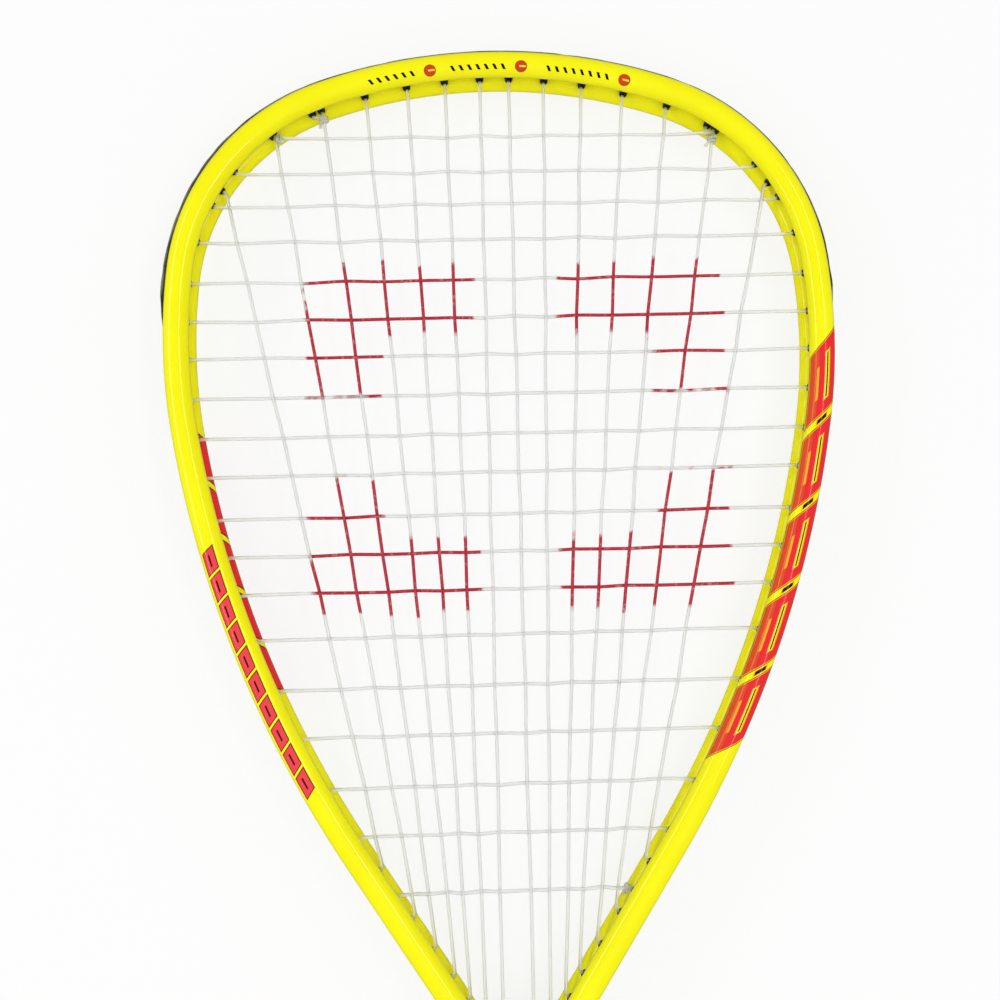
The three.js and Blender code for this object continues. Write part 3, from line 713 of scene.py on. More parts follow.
@dataclass(frozen=True)
class StringNylon(Finish):
    """Nylon string with a wrapped core.

    It gives the eye a milky, slightly see-through thread with a soft shine. Four corner marks are rubbed on
    in red ink through a stencil, so their edges are ragged and the ink is patchy.
    """

    nylon: str = "#f7f8f6"
    ink: str = "#c81d36"
    half_length: float = 82.0  # of the rectangle whose corners are marked
    half_height: float = 68.5
    arm: float = 30.0  # width of a mark's arms
    mark_gap: float = 30.0  # between two marks
    middle: tuple[float, float] = (6.0, -149.6)
    bleed_size: float = 5.0  # of the ragged edge's teeth
    bleed: float = 5.0  # how far the edge strays either way
    soft_edge: float = 1.5
    streak_size: float = 2.0  # of the places that took less ink
    thin_ink: float = 0.75
    lay_size: float = 0.5  # of the wrap's ridges, coarser than they are, so that they show
    lay_height: float = 0.05
    see_through: tuple[float, float] = (0.72, 0.1)  # bare nylon and full ink

    def stencil(self, tree: bpy.types.NodeTree, place: bpy.types.NodeSocket) -> bpy.types.Node:
        """How far inside the corner marks.

        Args:
            tree: The material's nodes.
            place: The place on the strings.

        Returns:
            A node that gives the depth in millimetres.
        """
        spot = TO_PART @ Vector((*self.middle, 0.0))
        shift = (-spot.x / MM, -spot.y / MM, 0.0)
        centred = add_node(
            tree, "ShaderNodeMapping", {"Vector": place, "Location": shift, "Scale": (1 / MM,) * 3}
        )
        folded = add_node(tree, "ShaderNodeVectorMath", {0: centred}, operation="ABSOLUTE")
        parts = add_node(tree, "ShaderNodeSeparateXYZ", {0: folded})
        across, up = parts.outputs["X"], parts.outputs["Y"]
        side = add_node(tree, "ShaderNodeMath", {0: self.half_length, 1: across}, operation="SUBTRACT")
        top = add_node(tree, "ShaderNodeMath", {0: self.half_height, 1: up}, operation="SUBTRACT")
        outer = add_node(tree, "ShaderNodeMath", {0: side, 1: top}, operation="MINIMUM")
        inner = add_node(tree, "ShaderNodeMath", {0: self.arm, 1: outer}, operation="SUBTRACT")
        axis = add_node(tree, "ShaderNodeMath", {0: across, 1: up}, operation="MINIMUM")
        parted = add_node(tree, "ShaderNodeMath", {0: axis, 1: self.mark_gap / 2}, operation="SUBTRACT")
        depth = outer
        for edge in (inner, parted):
            depth = add_node(tree, "ShaderNodeMath", {0: depth, 1: edge}, operation="MINIMUM")
        return depth

    def dress(self, tree: bpy.types.NodeTree, shader: bpy.types.Node) -> None:
        """Adds the milky nylon and the stencilled corner marks."""
        place = add_node(tree, "ShaderNodeTexCoord").outputs["Object"]
        sizes = ((self.bleed_size, 3.0), (self.streak_size, 4.0), (self.lay_size, 2.0))
        bleed, streak, lay = (
            add_node(
                tree, "ShaderNodeTexNoise", {"Vector": place, "Scale": 1 / (size * MM), "Detail": detail}
            )
            for size, detail in sizes
        )
        stray = {"Value": bleed, "To Min": -self.bleed, "To Max": self.bleed}
        ragged = add_node(tree, "ShaderNodeMapRange", stray)
        depth = add_node(tree, "ShaderNodeMath", {0: self.stencil(tree, place), 1: ragged}, operation="ADD")
        ink = add_node(tree, "ShaderNodeMapRange", {"Value": depth, "From Max": self.soft_edge})
        uneven = {"Value": streak, "From Min": 0.3, "From Max": 0.45, "To Min": self.thin_ink}
        patchy = add_node(tree, "ShaderNodeMapRange", uneven)
        cover = add_node(tree, "ShaderNodeMath", {0: ink, 1: patchy}, operation="MULTIPLY")
        inked = {"Factor": cover, "A": colour(self.nylon), "B": colour(self.ink)}
        ridges = {"Height": lay, "Strength": 0.3, "Distance": self.lay_height * MM}
        bare, full = self.see_through
        looks = {
            "Base Color": add_node(tree, "ShaderNodeMix", inked, data_type="RGBA").outputs["Result"],
            "Normal": add_node(tree, "ShaderNodeBump", ridges),
            "Transmission Weight": add_node(
                tree, "ShaderNodeMapRange", {"Value": cover, "To Min": bare, "To Max": full}
            ),
            "Roughness": 0.38,
            "IOR": 1.53,
        }
        feed(tree, shader, looks)


@dataclass(frozen=True)
class TackyWrap(Finish):
    """Cushioned polyurethane wrap.

    It gives the eye a soft matt black with a leather grain and rows of small vent holes, whose floors are
    painted near-black as shade, a little shinier where a hand has rubbed it.
    """

    # painted shade: the near-black of the vent holes' floors
    hole: str = "#08080a"
    deep: str = "#1c1d20"
    faded: str = "#2b2c30"
    vent_pitch: float = 3.2
    vent_radius: float = 0.45
    vent_edge: float = 0.6  # share of the radius at which the hole's floor starts
    patch_size: float = 22.0  # of the rubbed places
    grain_size: float = 1.1  # of the leather grain, about twice its own, so that it shows
    grain_share: float = 0.3
    relief: float = 0.25
    roughness: tuple[float, float] = (0.5, 0.8)

    def dress(self, tree: bpy.types.NodeTree, shader: bpy.types.Node) -> None:
        """Adds the grain, the vent holes with painted shade on their floors and the shine where a hand has
        rubbed.
        """
        place = add_node(tree, "ShaderNodeTexCoord").outputs["Object"]
        along = add_node(tree, "ShaderNodeAttribute", attribute_name="station").outputs["Fac"]
        across = add_node(tree, "ShaderNodeAttribute", attribute_name="out").outputs["Fac"]
        grid = add_node(tree, "ShaderNodeCombineXYZ", {0: along, 1: across})
        pitch = (self.vent_pitch,) * 3
        cell = add_node(tree, "ShaderNodeVectorMath", {0: grid, 1: pitch}, operation="MODULO")
        middle = (self.vent_pitch / 2, self.vent_pitch / 2, 0.0)
        gap = add_node(tree, "ShaderNodeVectorMath", {0: cell, 1: middle}, operation="DISTANCE")
        round_hole = {
            "Value": gap.outputs["Value"],
            "From Min": self.vent_radius * self.vent_edge,
            "From Max": self.vent_radius,
        }
        vent = add_node(tree, "ShaderNodeMapRange", round_hole)
        patch = add_node(
            tree,
            "ShaderNodeTexNoise",
            {"Vector": place, "Scale": 1 / (self.patch_size * MM), "Detail": 4.0},
        )
        tone = add_node(tree, "ShaderNodeValToRGB", {"Fac": patch})
        set_ramp(tone, [(0.3, colour(self.deep)), (0.7, colour(self.faded))], steps=False)
        # The vent holes' floors are painted near-black: painted shade in the hollows.
        hole_floor_shade = {"Factor": vent, "A": colour(self.hole), "B": tone.outputs["Color"]}
        grain = add_node(
            tree,
            "ShaderNodeTexVoronoi",
            {"Vector": place, "Scale": 1 / (self.grain_size * MM)},
            feature="SMOOTH_F1",
        )
        heights = {0: grain, 1: self.grain_share, 2: vent}
        sum_up = add_node(tree, "ShaderNodeMath", heights, operation="MULTIPLY_ADD")
        pressed = {"Height": sum_up, "Strength": 0.5, "Distance": self.relief * MM}
        sheen = {"Value": patch, "To Min": self.roughness[0], "To Max": self.roughness[1]}
        looks = {
            "Base Color": add_node(tree, "ShaderNodeMix", hole_floor_shade, data_type="RGBA").outputs["Result"],
            "Normal": add_node(tree, "ShaderNodeBump", pressed),
            "Roughness": add_node(tree, "ShaderNodeMapRange", sheen),
            "IOR": 1.5,
        }
        feed(tree, shader, looks)


@dataclass(frozen=True)
class Plain(Finish):
    """A finish of two close tones over a noise, with a grain: rubber, vinyl, foam, wood or plated steel."""

    dark: str = "#101114"
    light: str = "#1a1b1e"
    patch: float = 12.0  # size of the darker and lighter areas
    grain: float = 0.5  # size of the grain
    grain_height: float = 0.04
    roughness: tuple[float, float] = (0.6, 0.75)
    metallic: float = 0.0
    stretch: tuple[float, float, float] = (1.0, 1.0, 1.0)  # below 1 draws the pattern out that way

    def dress(self, tree: bpy.types.NodeTree, shader: bpy.types.Node) -> None:
        """Adds the tones, the grain and a roughness that varies with them."""
        place = add_node(tree, "ShaderNodeTexCoord").outputs["Object"]
        drawn = add_node(tree, "ShaderNodeMapping", {"Vector": place, "Scale": self.stretch})
        cloud, grit = (
            add_node(
                tree, "ShaderNodeTexNoise", {"Vector": drawn, "Scale": 1 / (size * MM), "Detail": detail}
            )
            for size, detail in ((self.patch, 5.0), (self.grain, 3.0))
        )
        tone = add_node(tree, "ShaderNodeValToRGB", {"Fac": cloud})
        set_ramp(tone, [(0.3, colour(self.dark)), (0.7, colour(self.light))], steps=False)
        texture = {"Height": grit, "Strength": 0.4, "Distance": self.grain_height * MM}
        sheen = {"Value": cloud, "To Min": self.roughness[0], "To Max": self.roughness[1]}
        looks = {
            "Base Color": tone,
            "Normal": add_node(tree, "ShaderNodeBump", texture),
            "Roughness": add_node(tree, "ShaderNodeMapRange", sheen),
            "Metallic": self.metallic,
        }
        feed(tree, shader, looks)


# The head


@dataclass(frozen=True)
class FrameTube:
    """The bent tube: two oval lobes joined by a web, in one length from leg end to leg end."""

    rim: Rim
    finish: Finish
    lobe_depth: float = 8.4
    lobe_middle: float = 6.9
    wall: float = 0.7
    web: float = 1.4
    lobe_segments: int = 30
    bore_segments: int = 16
    web_cuts: int = 7
    fillet_power: int = 5
    step: float = 2.5

    def oval(self, bm: bmesh.types.BMesh, inset: float, segments: int) -> list[bmesh.types.BMVert]:
        """Draws an oval inside the front lobe's outline.

        Args:
            bm: The draft.
            inset: How far inside the outline.
            segments: Points round the oval.

        Returns:
            The oval's points.
        """
        half_width, half_depth = self.rim.tube_width / 2 - inset, self.lobe_depth / 2 - inset
        size = Matrix.Diagonal((half_width, 1.0, half_depth, 1.0))
        upright = Matrix.Rotation(math.pi / 2, 4, "X")
        stand = Matrix.Translation((0.0, 0.0, self.lobe_middle)) @ size @ upright
        return bmesh.ops.create_circle(bm, segments=segments, radius=1.0, matrix=stand)["verts"]

    def draw_half_section(self, bm: bmesh.types.BMesh) -> None:
        """Draws the section's front half: the lobe, opened towards the web, its bore and half the web."""
        ring = self.oval(bm, 0.0, self.lobe_segments)
        lowest = min(ring, key=lambda v: v.co.z)
        bmesh.ops.delete(bm, geom=[lowest], context="VERTS")
        ends = [v for v in bm.verts if len(v.link_edges) == 1]
        corner = max(ends, key=lambda v: v.co.x).co.copy()
        feet = [bm.verts.new((math.copysign(self.web / 2, v.co.x), 0.0, 0.0)) for v in ends]
        webs = [bm.edges.new(pair) for pair in zip(ends, feet)]
        made = bmesh.ops.subdivide_edges(bm, edges=webs, cuts=self.web_cuts)["geom_inner"]
        for v in made:
            if isinstance(v, bmesh.types.BMVert):
                share = (v.co.z / corner.z) ** self.fillet_power
                half = self.web / 2 + (corner.x - self.web / 2) * share
                v.co.x = math.copysign(half, v.co.x)
        self.oval(bm, self.wall, self.bore_segments)

    def build(self) -> bpy.types.Object:
        """Sweeps the section down the front right quarter and mirrors it to the back and to the left."""
        bm = new_draft()
        self.draw_half_section(bm)
        station, girth = (bm.verts.layers.float[name] for name in ("station", "girth"))
        mean = (self.rim.tube_width + self.lobe_depth) / 4
        for v in bm.verts:
            v[girth] = mean * math.atan2(v.co.x, v.co.z - self.lobe_middle)
        self.rim.sweep(bm, bm.edges[:], 0.0, self.rim.length, self.step)
        for axis in ("Z", "X"):
            bmesh.ops.mirror(bm, geom=bm.verts[:] + bm.edges[:] + bm.faces[:], axis=axis, merge_dist=MM)
        for v in bm.verts:
            v[station] = math.copysign(v[station], v.co.x)
        leg_ends = [edge for edge in bm.edges if edge.is_boundary]
        bmesh.ops.triangle_fill(bm, use_beauty=True, edges=leg_ends)
        bmesh.ops.recalc_face_normals(bm, faces=bm.faces)
        return hand_over(bm, "frame_tube_painted", self.finish, ["frame_tube"])


@dataclass(frozen=True)
class Groovework:
    """What lies in the tube's outer groove: the bumper guard and the two grommet strips."""

    plan: StringPlan
    tube: FrameTube
    finish: Finish
    clearance: float = 0.3
    floor: float = 1.3
    channel: float = 4.0
    lip: float = 0.6
    crown: float = 10.2
    shoulder: float = 1.0
    strip_sink: float = 0.5
    strip_gap: float = 4.0
    strip_tail: float = 6.0
    barrel_diameter: float = 3.2
    barrel_reach: float = 3.7
    barrel_flare: float = 1.2
    barrel_taper: float = 0.9
    barrel_round: float = 0.3
    barrel_sides: int = 16
    bore_radius: float = 0.85
    rounding: float = 0.25
    flank_steps: int = 6
    step: float = 2.0
    scrape: float = 0.3  # how deep the court has worn the guard
    scrape_size: tuple[float, float] = (14.0, 9.0)  # of a worn place, along the rim and across it
    chip_size: float = 5.0
    chip_share: float = 0.6
    lift: float = 0.7  # how far the guard has crept off the tube on the left
    lift_start: float = -85.0
    lift_run: float = 30.0
    lift_mean: float = 0.6
    lift_swing: float = 0.9
    lift_size: float = 9.0
    fade: float = 16.0  # length over which the guard's ends slope down
    end_height: float = 0.12

    def flank(self, out: float) -> float:
        """Half the width of the groove at a distance outwards, less the clearance."""
        reach = min(out / (self.plan.rim.tube_width / 2 + self.clearance), 1.0)
        half = self.tube.lobe_depth / 2 + self.clearance
        return self.tube.lobe_middle - half * math.sqrt(1 - reach * reach)

    def section(self, top: float, cap: Sequence[tuple[float, float]]) -> list[tuple[float, float, float]]:
        """Corners of a strip's section.

        Args:
            top: How far outwards its sides follow the lobes.
            cap: The corners over that, as distance outwards and half width.

        Returns:
            The corners in order.
        """
        low = self.tube.web / 2 + self.clearance
        outs = [low + (top - low) * k / self.flank_steps for k in range(self.flank_steps + 1)]
        floor = low + self.floor
        half = [*((out, self.flank(out)) for out in outs), *cap, (floor, self.channel / 2)]
        right = [(out, 0.0, z) for out, z in half]
        return right + [(out, y, -z) for out, y, z in reversed(right)]

    def wear(self, bm: bmesh.types.BMesh, end: float) -> None:
        """Wears the outside down unevenly, lifts it where it has crept off the tube and fades its ends.

        Args:
            bm: The draft of a strip.
            end: The station of its right end.
        """
        rim = self.plan.rim
        station, out = (bm.verts.layers.float[name] for name in ("station", "out"))
        for v in bm.verts:
            proud = max(v[out] - rim.tube_width / 2, 0.0) / GUARD_STAND
            if not proud:
                continue
            along = v[station]
            worn = noise.noise(Vector((along / self.scrape_size[0], 0.0, v.co.z / self.scrape_size[1])))
            rough = worn + self.chip_share * noise.noise(v.co / self.chip_size)
            crept = min(max((self.lift_start - along) / self.lift_run, 0.0), 1.0)
            wander = noise.noise(Vector((along / self.lift_size, 3.0, 0.0)))
            wave = self.lift_mean + self.lift_swing * wander
            kept = min(max((end - abs(along)) / self.fade, self.end_height), 1.0)
            height = (1.0 - kept) * GUARD_STAND - kept * self.lift * crept * wave
            height += self.scrape * max(rough, 0.0)
            v.co += rim.point(along, -height * proud, 0.0) - rim.point(along, 0.0, 0.0)

    def barrel(self) -> bpy.types.Mesh:
        """One grommet barrel along x, with a rounded inner end."""
        bm = new_draft()
        radius, lip = self.barrel_diameter / 2, self.barrel_round
        tip = radius * self.barrel_taper
        root = self.tube.web / 2 + self.clearance + self.floor / 2
        neck = -self.tube.web / 2
        profile = [
            (root, self.bore_radius),
            (root, radius),
            (neck, radius),
            (neck, radius * self.barrel_flare),
            (lip - self.barrel_reach, tip),
            (-self.barrel_reach, tip - lip),
            (-self.barrel_reach, self.bore_radius + lip / 2),
            (lip / 2 - self.barrel_reach, self.bore_radius),
        ]
        corners = [bm.verts.new((x, 0.0, r)) for x, r in profile]
        for a, b in zip(corners, corners[1:] + corners[:1]):
            bm.edges.new((a, b))
        bmesh.ops.spin(
            bm,
            geom=bm.verts[:] + bm.edges[:],
            cent=(0.0, 0.0, 0.0),
            axis=(1.0, 0.0, 0.0),
            angle=2 * math.pi,
            steps=self.barrel_sides,
            use_merge=True,
        )
        bmesh.ops.remove_doubles(bm, verts=bm.verts, dist=MM)
        bmesh.ops.recalc_face_normals(bm, faces=bm.faces)
        mesh = bpy.data.meshes.new("barrel")
        bm.to_mesh(mesh)
        bm.free()
        return mesh

    def strip(self, name: str, node: str, corners: list, start: float, end: float) -> bpy.types.Object:
        """Makes one strip with a barrel at each hole.

        Args:
            name: The piece's name.
            node: The frame's node that it stands for.
            corners: The section's corners.
            start: The first station, the greater one.
            end: The last station.

        Returns:
            The piece.
        """
        bm = new_draft()
        edges = draw_outline(bm, corners, self.rounding, segments=2)
        for ring in (edges, self.plan.rim.sweep(bm, edges, start, end, self.step)):
            bmesh.ops.triangle_fill(bm, use_beauty=True, edges=ring)
        bmesh.ops.recalc_face_normals(bm, faces=bm.faces)
        self.wear(bm, start)
        barrel = self.barrel()
        for station, z in self.plan.holes:
            if end < station < start:
                known = len(bm.verts)
                bm.from_mesh(barrel)
                bm.verts.ensure_lookup_table()
                pose = self.plan.rim.pose(station) @ Matrix.Translation((0.0, 0.0, z))
                bmesh.ops.transform(bm, matrix=pose, verts=bm.verts[known:])
        bpy.data.meshes.remove(barrel)
        return hand_over(bm, name, self.finish, [node])

    def build(self) -> None:
        """Makes the bumper guard and both grommet strips."""
        rim = self.plan.rim
        half = rim.tube_width / 2
        crown = half + GUARD_STAND
        lip = self.channel / 2 + self.lip
        edge = self.crown / 2
        cap = [(crown - self.shoulder, edge + self.shoulder), (crown, edge), (crown, lip)]
        bumper = self.section(half, cap)
        top = half - self.strip_sink
        flat = self.section(top, [(top, lip)])
        self.strip("bumper_guard_moulded", "bumper_guard", bumper, rim.widest, -rim.widest)
        start = self.plan.main_lows[0] + self.strip_tail
        end = rim.widest + self.strip_gap
        self.strip("grommet_strip_right_moulded", "grommet_strip_right", flat, start, end)
        self.strip("grommet_strip_left_moulded", "grommet_strip_left", flat, -end, -start)


# The strings


@dataclass(frozen=True)
class Stringing:
    """The two lengths of string, woven over and under, with their loops and knots."""

    plan: StringPlan
    finish: Finish
    weave: float = 0.68
    step: float = 2.2
    loop_level: float = 3.45
    tie_level: float = 5.05
    loop_step: float = 3.0
    corner: float = 1.1
    corner_steps: int = 4
    corner_share: float = 0.45  # the most of a stretch that a corner's round takes
    straight: float = 12.0  # the turn in degrees that needs no round
    knot_drop: float = 0.4
    knot_steps: int = 14
    knot_radius: float = 1.02  # in string diameters, as is the pitch
    knot_pitch: float = 1.04
    knot_tail: float = 2.4
    tail_lean: float = 0.6
    tie_turns: float = 2.0
    end_turns: float = 1.4
    slack: float = 0.22
    wander: tuple[float, ...] = (3.1, 1.7, 2.3, 4.1)  # unlike turns, so that no two crossings stray alike
    yoke_mouth: float = 1.2
    yoke_groove: float = 1.9

    @cached_property
    def mains(self) -> list[tuple[int, int]]:
        """The mains from left to right, as their number from the middle and their side."""
        count = len(self.plan.main_top_shares)
        return [(i, -1) for i in reversed(range(count))] + [(i, 1) for i in range(count)]

    @cached_property
    def yoke_box(self) -> tuple[Vector, Vector]:
        """The throat yoke's lowest and highest corners, in the head's frame."""
        low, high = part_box("throat_yoke")
        return TO_PART.inverted() @ low, TO_PART.inverted() @ high

    def crossing(self, k: int, j: int) -> Vector:
        """Where main k and cross j meet, seen from the front, with a little slack."""
        i, side = self.mains[k]
        y = self.plan.main_y(j)
        a, b, c, d = self.wander
        stray = Vector((math.sin(a * k + b * j), math.sin(c * k - d * j), 0.0))
        return Vector((side * self.plan.main_x(i, y), y, 0.0)) + stray * self.slack

    def over(self, k: int, j: int) -> float:
        """1 where main k passes over cross j, and -1 where it passes under."""
        return 1.0 if (k + j) % 2 else -1.0

    def mouth(self, station: float, layer: float) -> Vector:
        """Where a string leaves the rim."""
        return self.plan.rim.point(station, -self.plan.mouth, layer)

    def main_mouths(self, k: int) -> tuple[Vector, Vector]:
        """The upper and lower mouths of main k."""
        i, side = self.mains[k]
        top = self.mouth(side * self.plan.main_tops[i], -self.plan.layer)
        if i:
            return top, self.mouth(side * self.plan.main_lows[i - 1], -self.plan.layer)
        y = self.yoke_box[1].y - self.yoke_mouth / 2
        return top, Vector((side * self.plan.main_x(0, y), y, -self.plan.layer))

    def run(self, knots: Sequence[Vector]) -> list[Vector]:
        """Eases a string's height from one crossing to the next.

        Args:
            knots: The crossings and the two mouths.

        Returns:
            Points close enough together for a smooth tube.
        """
        points = [knots[0]]
        for a, b in zip(knots, knots[1:]):
            count = max(math.ceil((b - a).length / self.step), 1)
            for n in range(1, count + 1):
                t = n / count
                point = a.lerp(b, t)
                point.z = a.z + (b.z - a.z) * (1 - math.cos(math.pi * t)) / 2
                points.append(point)
        return points

    def main_run(self, k: int) -> list[Vector]:
        """Points of main k from the top down."""
        top, low = self.main_mouths(k)
        knots = [top]
        for j, end in enumerate(self.plan.cross_ends):
            spot = self.crossing(k, j)
            reach = self.mouth(end, 0.0).x
            if low.y + 1 < spot.y < top.y - 1 and abs(spot.x) < reach - 1:
                knots.append(spot + Vector((0.0, 0.0, self.weave * self.over(k, j))))
        return self.run([*knots, low])

    def cross_run(self, j: int) -> list[Vector]:
        """Points of cross j from left to right."""
        right = self.mouth(self.plan.cross_ends[j], self.plan.layer)
        knots = [Vector((-right.x, right.y, right.z))]
        for k in range(len(self.mains)):
            spot = self.crossing(k, j)
            top, low = self.main_mouths(k)
            if low.y + 1 < spot.y < top.y - 1 and abs(spot.x) < right.x - 1:
                knots.append(spot - Vector((0.0, 0.0, self.weave * self.over(k, j))))
        return self.run([*knots, right])

    def groove_loop(self, start: float, end: float, level: float, layer: float) -> list[Vector]:
        """The way through the groove from one hole to the next, without its two mouths."""
        count = math.ceil(abs(end - start) / self.loop_step)
        stations = [start + (end - start) * n / count for n in range(count + 1)]
        return [self.plan.rim.point(s, level, layer) for s in stations]

    def yoke_loop(self, start: float, end: float) -> list[Vector]:
        """The way under the throat yoke, without its two mouths."""
        y = self.yoke_box[0].y + self.yoke_groove
        return [Vector((x, y, -self.plan.layer)) for x in (start, end)]

    def round_off(self, points: Sequence[Vector]) -> list[Vector]:
        """Rounds every sharp corner of a route.

        Args:
            points: The route.

        Returns:
            The route with a short curve at each corner.
        """
        made = [points[0]]
        for before, here, after in zip(points, points[1:], points[2:]):
            back, ahead = before - here, after - here
            if back.angle(-ahead) < math.radians(self.straight):
                made.append(here)
                continue
            cut = min(self.corner, back.length * self.corner_share, ahead.length * self.corner_share)
            start, end = here + back.normalized() * cut, here + ahead.normalized() * cut
            shares = [n / self.corner_steps for n in range(self.corner_steps + 1)]
            made += [start.lerp(here, t).lerp(here.lerp(end, t), t) for t in shares]
        return [*made, points[-1]]

    def knot(self, spot: Vector, along: Vector, away: Vector, turns: float) -> list[Vector]:
        """A small hitch: turns of string round another run, and a cut tail.

        Args:
            spot: Where the hitch starts on the other run.
            along: The way that run goes from there.
            away: The side on which the hitch starts and its tail stands off.
            turns: How many turns it has.

        Returns:
            Points from the first turn to the tip of the tail.
        """
        along = along.normalized()
        first = (away - along * away.dot(along)).normalized()
        second = along.cross(first)
        radius = self.plan.diameter * self.knot_radius
        count = round(turns * self.knot_steps)
        made = []
        for n in range(count + 1):
            turn = 2 * math.pi * turns * n / count
            climb = along * (self.plan.diameter * self.knot_pitch * turns * n / count)
            made.append(spot + climb + (first * math.cos(turn) + second * math.sin(turn)) * radius)
        leave = (made[-1] - made[-2]).normalized()
        made.append(made[-1] + leave * self.knot_tail / 2)
        made.append(made[-1] + (leave + along * self.tail_lean).normalized() * self.knot_tail / 2)
        return made

    def tie(self, i: int, side: int, station: float) -> list[Vector]:
        """The main string's end: a hitch round a main, then the way to its tie hole.

        Args:
            i: The main's number from the middle.
            side: 1 for the right side and -1 for the left.
            station: The tie hole.

        Returns:
            Points from the tail's tip to the tie hole's mouth.
        """
        k = self.mains.index((i, side))
        run = self.main_run(k)
        hole = self.mouth(station, -self.plan.layer)
        along = (run[3] - run[0]).normalized()
        spot = run[0] + along * self.knot_drop
        return [*reversed(self.knot(spot, along, hole - spot, self.tie_turns)), hole]

    def tube(self, name: str, routes: Sequence[list[Vector]], node: str) -> bpy.types.Object:
        """Makes a round string along its routes.

        Args:
            name: The piece's name.
            routes: The long route first, then any short ones.
            node: The frame's node that it stands for.

        Returns:
            The piece.
        """
        line = bpy.data.curves.new(name, "CURVE")
        line.dimensions = "3D"
        line.bevel_depth = self.plan.diameter / 2 * MM
        line.bevel_resolution = 2
        line.use_fill_caps = True
        for route in routes:
            spline = line.splines.new("POLY")
            spline.points.add(len(route) - 1)
            for point, place in zip(spline.points, route):
                point.co = (*(TO_PART @ place), 1.0)
            spline.use_smooth = True
        line.materials.append(self.finish.material)
        piece = bpy.data.objects.new(name, line)
        return settle(piece, [node])

    def build(self) -> None:
        """Lays the main string and the cross string."""
        plan = self.plan
        left_tie, right_tie = plan.ties
        outer = plan.main_tops[-1]
        route = self.tie(plan.left_tie_main, -1, left_tie)
        route += self.groove_loop(left_tie, -outer, self.tie_level, -plan.layer)
        for k, (i, side) in enumerate(self.mains):
            run = self.main_run(k)
            downwards = k % 2 == 0
            route += run if downwards else reversed(run)
            if k + 1 == len(self.mains):
                break
            after, after_side = self.mains[k + 1]
            if not downwards:
                ends = side * plan.main_tops[i], after_side * plan.main_tops[after]
                route += self.groove_loop(*ends, self.loop_level, -plan.layer)
            elif i:
                ends = side * plan.main_lows[i - 1], after_side * plan.main_lows[after - 1]
                route += self.groove_loop(*ends, self.loop_level, -plan.layer)
            else:
                route += self.yoke_loop(run[-1].x, -run[-1].x)
        route += self.groove_loop(outer, right_tie, self.tie_level, -plan.layer)
        route += reversed(self.tie(plan.right_tie_main, 1, right_tie))
        self.tube("main_string_woven", [self.round_off(route)], "main_string")

        first, last = -plan.cross_ends[0], plan.cross_ends[-1]
        route = [plan.rim.point(first, self.loop_level, plan.layer)]
        for j, end in enumerate(plan.cross_ends):
            side = 1 if j % 2 == 0 else -1
            run = self.cross_run(j)
            route += run if side > 0 else reversed(run)
            if j + 1 < len(plan.cross_ends):
                ends = side * end, side * plan.cross_ends[j + 1]
                route += self.groove_loop(*ends, self.loop_level, plan.layer)
        route.append(plan.rim.point(last, self.loop_level, plan.layer))
        upwards_back = Vector((0.0, 1.0, -1.0))
        ends = (self.cross_run(0), self.cross_run(len(plan.cross_ends) - 1)[::-1])
        knots = [self.knot(run[0], run[2] - run[0], upwards_back, self.end_turns) for run in ends]
        self.tube("cross_string_woven", [self.round_off(route), *knots], "cross_string")


# The throat and the handle


@dataclass(frozen=True)
class NodeCopy:
    """A copy of a frame node with its edges rounded, as a moulding has them.

    Edges shorter than the shortest, such as those round a hole, stay sharp and don't hold the others back.
    """

    node: str
    name: str
    finish: Finish
    rounding: float = 0.5
    shortest: float = 0.0
    segments: int = 3
    flat: float = 1.0  # the angle in degrees up to which two faces count as one
    hard: float = 25.0  # the angle past which an edge is rounded
    sharp: float = 12.0  # the angle past which an edge is shaded hard

    def build(self) -> bpy.types.Object:
        """Copies the node's mesh, merges it and rounds its hard edges."""
        bm = new_draft()
        bm.from_mesh(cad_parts[self.node].data)
        bm.transform(TO_PART.inverted())
        bmesh.ops.remove_doubles(bm, verts=bm.verts, dist=MM)
        bmesh.ops.dissolve_limit(
            bm, angle_limit=math.radians(self.flat), verts=bm.verts, edges=bm.edges, delimit=set()
        )
        long = [e for e in bm.edges if e.is_manifold and e.calc_length() > self.shortest]
        hard = [e for e in long if e.calc_face_angle(0.0) > math.radians(self.hard)]
        bmesh.ops.bevel(
            bm,
            geom=hard,
            offset=self.rounding,
            offset_type="OFFSET",
            affect="EDGES",
            segments=self.segments,
            profile=0.5,
            material=-1,
            clamp_overlap=True,
        )
        return hand_over(bm, self.name, self.finish, [self.node], self.sharp)


@dataclass(frozen=True)
class Octagon:
    """The handle's outline: eight flats whose corners run into each other softly."""

    half_width: float = 16.25
    half_depth: float = 14.5
    half_slant: float = 16.3
    corner_power: float = 30.0
    reference: float = 20.0

    def radius(self, angle: float, margin: float) -> float:
        """The distance from the axis to the outline.

        Args:
            angle: The direction, 0 to the right and a quarter turn to the front.
            margin: How far outside the grip's own outline.

        Returns:
            The distance.
        """
        halves = (self.half_width, self.half_slant, self.half_depth, self.half_slant) * 2
        leans = [(math.cos(angle - k * math.pi / 4), half + margin) for k, half in enumerate(halves)]
        total = sum((lean / half) ** self.corner_power for lean, half in leans if lean > 0)
        return total ** (-1 / self.corner_power)

    def shape(self, bm: bmesh.types.BMesh, widen: Callable[[float], float]) -> None:
        """Pushes a round draft, drawn at the reference radius plus its margin, onto the octagon.

        Args:
            bm: The draft, turned about the y axis.
            widen: How much wider the handle is at a height.
        """
        for v in bm.verts:
            angle = math.atan2(v.co.z, v.co.x)
            margin = math.hypot(v.co.x, v.co.z) - self.reference + widen(v.co.y)
            radius = self.radius(angle, margin)
            v.co.x = radius * math.cos(angle)
            v.co.z = radius * math.sin(angle)


